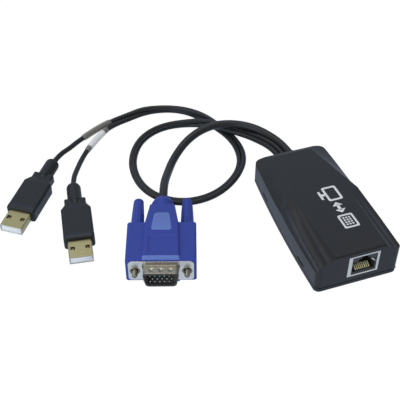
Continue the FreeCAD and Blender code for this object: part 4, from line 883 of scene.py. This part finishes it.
def grip_rings():
    """A tapered, slightly bowed grip with a domed end; its shallow flutes fade out at both ends."""
    turn = np.linspace(0, 2 * math.pi, 8 * FLUTES, endpoint=False)[None, :]
    y = np.concatenate([CHAMFER_PLACES, np.linspace(GRIP_STARTS, GRIP_ENDS, 36),
                        DOME_PLACES])[:, None]
    share = np.clip((y - GRIP_TAPERS) / (GRIP_ENDS - GRIP_TAPERS), 0, 1)
    radius = GRIP_WIDE - GRIP_TAPER * share + GRIP_BOW * share * (1 - share)
    dome = DOME_WIDE - DOME_FALL * ((y - GRIP_ENDS) / DOME_LONG) ** 2
    radius = np.where(y > GRIP_ENDS, dome, radius)
    radius = np.where(y < CHAMFER_TO, CHAMFER_WIDE, radius)
    fade = ramp(y, *FLUTES_RISE) * (1 - ramp(y, *FLUTES_FALL))
    radius = radius - FLUTE_DEEP * fade * (0.5 + 0.5 * np.cos(FLUTES * turn))
    return about_screw(radius, y, turn)


print("thread:", round((THREAD_END - SCREW_TIP) / THREAD_PITCH, 1), "turns on each screw")

# %% [markdown]
# Both screws are the same.  Each one turns with its grip, so the two ride on the thumbscrew's
# own body, while the pressed eyelet around it belongs to the flange.

# %% Thumbscrews and eyelets
SCREW_APART = 25.0
EYELET = [(0.0, 2.5), (-0.16, 2.42), (-0.26, 2.25), (-0.24, 2.02), (-0.08, 1.84), (0.25, 1.78)]
for side, place in (("left", -SCREW_APART / 2), ("right", SCREW_APART / 2)):
    offset = np.array([place, 0.0, 0.0])
    screw = surface("screw_" + side, at_plug(screw_rings() + offset, VIDEO_PLUG), "flange_tin",
                    "dark_tin", body="thumbscrew_" + side, caps="first last")
    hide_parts("thumbscrew_%s_shank" % side)
    grip = surface("grip_" + side, at_plug(grip_rings() + offset, VIDEO_PLUG), "plug_blue",
                   body="thumbscrew_" + side, caps="first last")
    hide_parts("thumbscrew_%s_grip" % side)
    surface("eyelet_" + side, at_plug(turned(EYELET, place, VIDEO_AXIS, 40), VIDEO_PLUG),
            "flange_tin", "brown_tin")
    print("thumbscrew", side, "at", place, "mm, its grip of", len(grip.data.polygons), "faces")

# %% [markdown]
# The USB shells are folded from sheet: a bright cut edge shows round the mouth, and in each window
# sits the tongue of spring that holds the plug in its socket.  The springs' dark brown is painted
# shade, the shade of the hollow windows.  The moulded body has a narrow raised band behind its
# front face.

# %% USB details
USB_HALF, USB_RISE, BODY_HALF, BODY_RISE = 6.0, 2.25, 7.75, 3.95
TONGUE_HALF, TONGUE_LOW, TONGUE_HIGH = 5.35, 2.3, 5.55
USB_ROUND, BODY_ROUND, TONGUE_ROUND, LEAF_ROUND = 0.5, 1.6, 0.3, 0.3
usb_outline = rounded(box_corners(-USB_HALF, USB_AXIS - USB_RISE, USB_HALF, USB_AXIS + USB_RISE),
                      USB_ROUND, 96)
body_outline = rounded(box_corners(-BODY_HALF, USB_AXIS - BODY_RISE,
                                   BODY_HALF, USB_AXIS + BODY_RISE), BODY_ROUND, 120)
usb_middle = np.array([0.0, USB_AXIS])
MOUTH = [(-11.3, -0.05), (-11.53, -0.05), (-11.53, -0.46), (-11.3, -0.48), (-9.5, -0.48)]
tongue_outline = rounded(box_corners(-TONGUE_HALF, TONGUE_LOW, TONGUE_HALF, TONGUE_HIGH),
                         TONGUE_ROUND, 80)
TONGUE = [(-9.0, 0.0), (-11.2, 0.0), (-11.35, -0.15)]
BAND = [(1.1, -0.03), (1.35, 0.05), (3.5, 0.05), (3.75, -0.03)]
SPRING = [(1.0, 0.0), (0.9, 0.12), (0.6, 0.2), (0.1, 0.24)]
SHOULDER = [(25.4, 2.5), (25.6, 2.86), (26.6, 3.0), (28.0, 3.4), (29.2, 3.76), (29.9, 3.84),
            (30.6, 3.82)]
LEAF_AT, LEAF_HALF, LEAF_START, LEAF_END = 3.7, 0.85, -6.1, -4.5
LEAF_LIFT, LEAF_SLOPE, LEAF_MIDDLE = 1.72, 0.12, -5.2


def leaf_height(x, y):
    """Height of the spring in a window: it rises towards the plug's body."""
    return USB_AXIS + LEAF_LIFT + LEAF_SLOPE * (y - LEAF_MIDDLE)


for side, plug in USB_PLUGS.items():
    surface(side + "_usb_mouth", at_plug(sleeve_rings(usb_outline, MOUTH, usb_middle), plug),
            "shell_nickel", "cut_edge")
    surface(side + "_usb_band", at_plug(sleeve_rings(body_outline, BAND, usb_middle), plug),
            "plug_black", "band_black")
    tongue_rings = sleeve_rings(tongue_outline, TONGUE, usb_middle)
    surface(side + "_usb_tongue_face", at_plug(tongue_rings, plug), "tongue_white", caps="last")
    shoulder_rings = turned(SHOULDER, 0.0, USB_AXIS, 48)
    surface(side + "_usb_shoulder", at_plug(shoulder_rings, plug), "plug_black")
    for hand, place in (("a", -LEAF_AT), ("b", LEAF_AT)):
        leaf = rounded(box_corners(place - LEAF_HALF, LEAF_START, place + LEAF_HALF, LEAF_END),
                       LEAF_ROUND, 40)
        rings = cushion(leaf, SPRING, leaf_height)
        # Each spring's dark brown is painted shade, the shade inside its window.
        surface("%s_usb_spring_%s" % (side, hand), at_plug(rings, plug), "shell_nickel",
                "spring_shade_brown", caps="last")
print("USB mouths:", np.ptp(usb_outline, axis=0).round(2), "mm")

# %% [markdown]
# The jack's contacts are eight flat wires that rise from the mouth's floor towards the back, where
# their free ends press on the plug.  Their bright gold is painted light, for they lie in the shade
# of the mouth.  At the mouth's upper right a tab of the metal shield is bent in.

# %% Jack
JACK_MIDDLE, CONTACT_PITCH, CONTACT_HALF, CONTACT_THICK, CONTACTS = 2.55, 1.02, 0.26, 0.22, 8
TAB_CORNERS = [(6.4, 13.6), (9.2, 11.4), (9.3, 12.2), (6.7, 14.3)]
TAB_FRONT, TAB_BACK, TAB_ROOT, TAB_LEAN, TAB_ROUND = -42.3, -42.05, 9.3, 0.5, 0.2
WIRE_LINE = np.array([(-41.3, 8.12), (-40.9, 8.42), (-40.2, 8.75), (-39.5, 9.1), (-38.9, 9.35),
                      (-38.5, 9.38)])
tab = rounded(TAB_CORNERS, TAB_ROUND, 40)
tab_rings = np.array([np.column_stack([tab[:, 0], place + TAB_LEAN * (TAB_ROOT - tab[:, 0]),
                                       tab[:, 1]]) for place in (TAB_FRONT, TAB_BACK)])
surface("jack_tab", tab_rings * MM, "tinned_metal", caps="first last", smooth=False)


def wire_rings(place):
    """Four corners of a flat wire at each point of its line, at a place across the jack."""
    x = np.array([-CONTACT_HALF, CONTACT_HALF, CONTACT_HALF, -CONTACT_HALF]) + place
    lift = np.array([0.0, 0.0, CONTACT_THICK, CONTACT_THICK])
    rings = np.empty((len(WIRE_LINE), 4, 3))
    rings[..., 0] = x[None, :]
    rings[..., 1] = WIRE_LINE[:, :1]
    rings[..., 2] = WIRE_LINE[:, 1:] + lift[None, :]
    return rings * MM


for number in range(CONTACTS):
    place = JACK_MIDDLE + (number - (CONTACTS - 1) / 2) * CONTACT_PITCH
    wire = surface("jack_wire_%d" % (number + 1), wire_rings(place), "gold_contact", "gold_painted_light",
                   caps="first last", smooth=False)
    if number == 0:
        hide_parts("jack_contacts")
print("jack:", CONTACTS, "contacts over", round((CONTACTS - 1) * CONTACT_PITCH, 2), "mm")

# %% [markdown]
# The sleeves follow the cables' own lines.  The label is white film over a clear tube that
# reaches a little past it on both sides; the other cable has a clear tube alone.

# %% Sleeves
SLEEVE_RINGS, SNUG, END_STEP = 24, 1.01, 0.2
LABEL_RADIUS, LABEL_TUBE_RADIUS, CLEAR_RADIUS = 1.85, 1.7, 1.9


def tube_rings(path, radii, count=28):
    """Rings across a path: each ring's axes are level and upright to the path's own direction."""
    along = np.gradient(path, axis=0)
    along /= np.linalg.norm(along, axis=1, keepdims=True)
    side = np.cross(along, [0.0, 0.0, 1.0])
    side /= np.linalg.norm(side, axis=1, keepdims=True)
    up = np.cross(side, along)
    turn = np.linspace(0, 2 * math.pi, count, endpoint=False)[None, :, None]
    radii = np.asarray(radii)[:, None, None]
    return path[:, None] + radii * (np.cos(turn) * side[:, None] + np.sin(turn) * up[:, None])


def sleeve(name, cord, route, first, last, radius, slot, node=None):
    """Tube on a cord between two places given as point numbers of its route, ends turned in."""
    route = np.asarray(route, float)
    near, far = (route[int(n)] * (1 - n % 1) + route[int(n) + 1] * (n % 1) for n in (first, last))
    path = stretch(centreline(cord), near, far, SLEEVE_RINGS)
    bare = USB_CORD / 2 / MM
    radii = np.full(SLEEVE_RINGS, radius)
    radii[[0, -1]] = bare * SNUG
    radii[[1, -2]] = 0.5 * (radius + bare)
    for end, second, third in ((0, 1, 2), (-1, -2, -3)):
        path[second] = path[end] * (1 - END_STEP) + path[third] * END_STEP
    piece = surface(name, tube_rings(path, radii * MM), slot)
    if node:
        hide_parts(node)


sleeve("label_film", right_cord, RIGHT_ROUTE, 35.05, 36.75, LABEL_RADIUS,
       "label_white", "label_sleeve")
sleeve("label_tube", right_cord, RIGHT_ROUTE, 34.85, 37.0, LABEL_TUBE_RADIUS, "clear_sleeve")
sleeve("clear_tube", left_cord, LEFT_ROUTE, 34.35, 36.55, CLEAR_RADIUS,
       "clear_sleeve", "clear_sleeve")
print("sleeves: 3 tubes, up to", 2 * CLEAR_RADIUS, "mm thick")

# %% [markdown]
# On the roof the real unit has a white print.  This one carries a plain pictogram instead: a
# screen, an arrow that points both ways, and a keyboard, for a console that is joined to a
# machine.  Each patch is a thin cushion of ink that follows the roof's slope.

# %% Ink
PRINT_LEFT, PRINT_START = -1.6, 6.7
INK, INK_LIFT = 0.05, 0.005
ROOF_FRONT, ROOF_FALL, HOUSING_FRONT, HOUSING_LONG = 21.94, 6.72, -42.5, 85


def roof(x, y):
    """Height of the sloping roof: a straight fall from the front to the rear."""
    return ROOF_FRONT - ROOF_FALL * (y - HOUSING_FRONT) / HOUSING_LONG + 0 * x


def print_points(corners):
    """Corners given as (along, up) on the print, as places on the roof."""
    return [(PRINT_LEFT + up, PRINT_START - along) for along, up in corners]


def ink(name, corners, radius, count=48):
    """One patch of ink with rounded corners."""
    outline = rounded(print_points(corners), radius, count)
    rings = cushion(outline, [(1.0, INK_LIFT), (0.995, INK), (0.5, INK), (0.05, INK)], roof)
    surface(name, rings * MM, "label_white", "print_white", caps="last")


def ink_frame(name, corners, line, radius):
    """A closed line of ink: an outline and the same outline drawn in by the line's width."""
    (left, low), (right, _), (_, high), _ = corners
    inner = [(left + line, low + line), (right - line, low + line),
             (right - line, high - line), (left + line, high - line)]
    outer_line = rounded(print_points(corners), radius, 72)
    inner_line = rounded(print_points(inner), radius * 0.6, 72)
    rings = np.array([np.column_stack([flat, roof(flat[:, 0], flat[:, 1]) + lift])
                      for flat, lift in ((outer_line, INK_LIFT), (outer_line, INK),
                                         (inner_line, INK), (inner_line, INK_LIFT))])
    surface(name, rings * MM, "label_white", "print_white", up=True)


print("roof falls from", ROOF_FRONT, "to", round(ROOF_FRONT - ROOF_FALL, 2), "mm")

# %% [markdown]
# The pictogram's places are given as seen on the print, in millimetres along it and up it.  The
# keyboard's twelve keys are one small patch, repeated.

# %% Roof print
KEYS_ALONG, KEYS_UP, KEY_LONG, KEY_WIDE = 24.2, 3.5, 1.1, 1.0
KEY_STEP_ALONG, KEY_STEP_UP = 1.6, 1.5
ink_frame("print_screen", box_corners(0.0, 3.2, 11.0, 11.0), 1.25, 1.2)
ink("print_stand", [(4.4, 1.3), (6.6, 1.3), (6.1, 3.3), (4.9, 3.3)], 0.2)
ink("print_foot", box_corners(2.2, 0.2, 8.8, 1.5), 0.5)
ink("print_arrow_bar", box_corners(14.2, 4.9, 19.0, 6.5), 0.2)
ink("print_arrow_rear", [(12.4, 5.7), (15.2, 2.9), (15.2, 8.5)], 0.4)
ink("print_arrow_front", [(20.8, 5.7), (18.0, 8.5), (18.0, 2.9)], 0.4)
ink_frame("print_keyboard", box_corners(22.2, 1.6, 32.2, 9.6), 1.1, 1.0)
for row in range(3):
    for column in range(4):
        left, low = KEYS_ALONG + KEY_STEP_ALONG * column, KEYS_UP + KEY_STEP_UP * row
        ink("print_key_%d%d" % (row + 1, column + 1),
            box_corners(left, low, left + KEY_LONG, low + KEY_WIDE), 0.2, 16)


low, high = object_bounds()
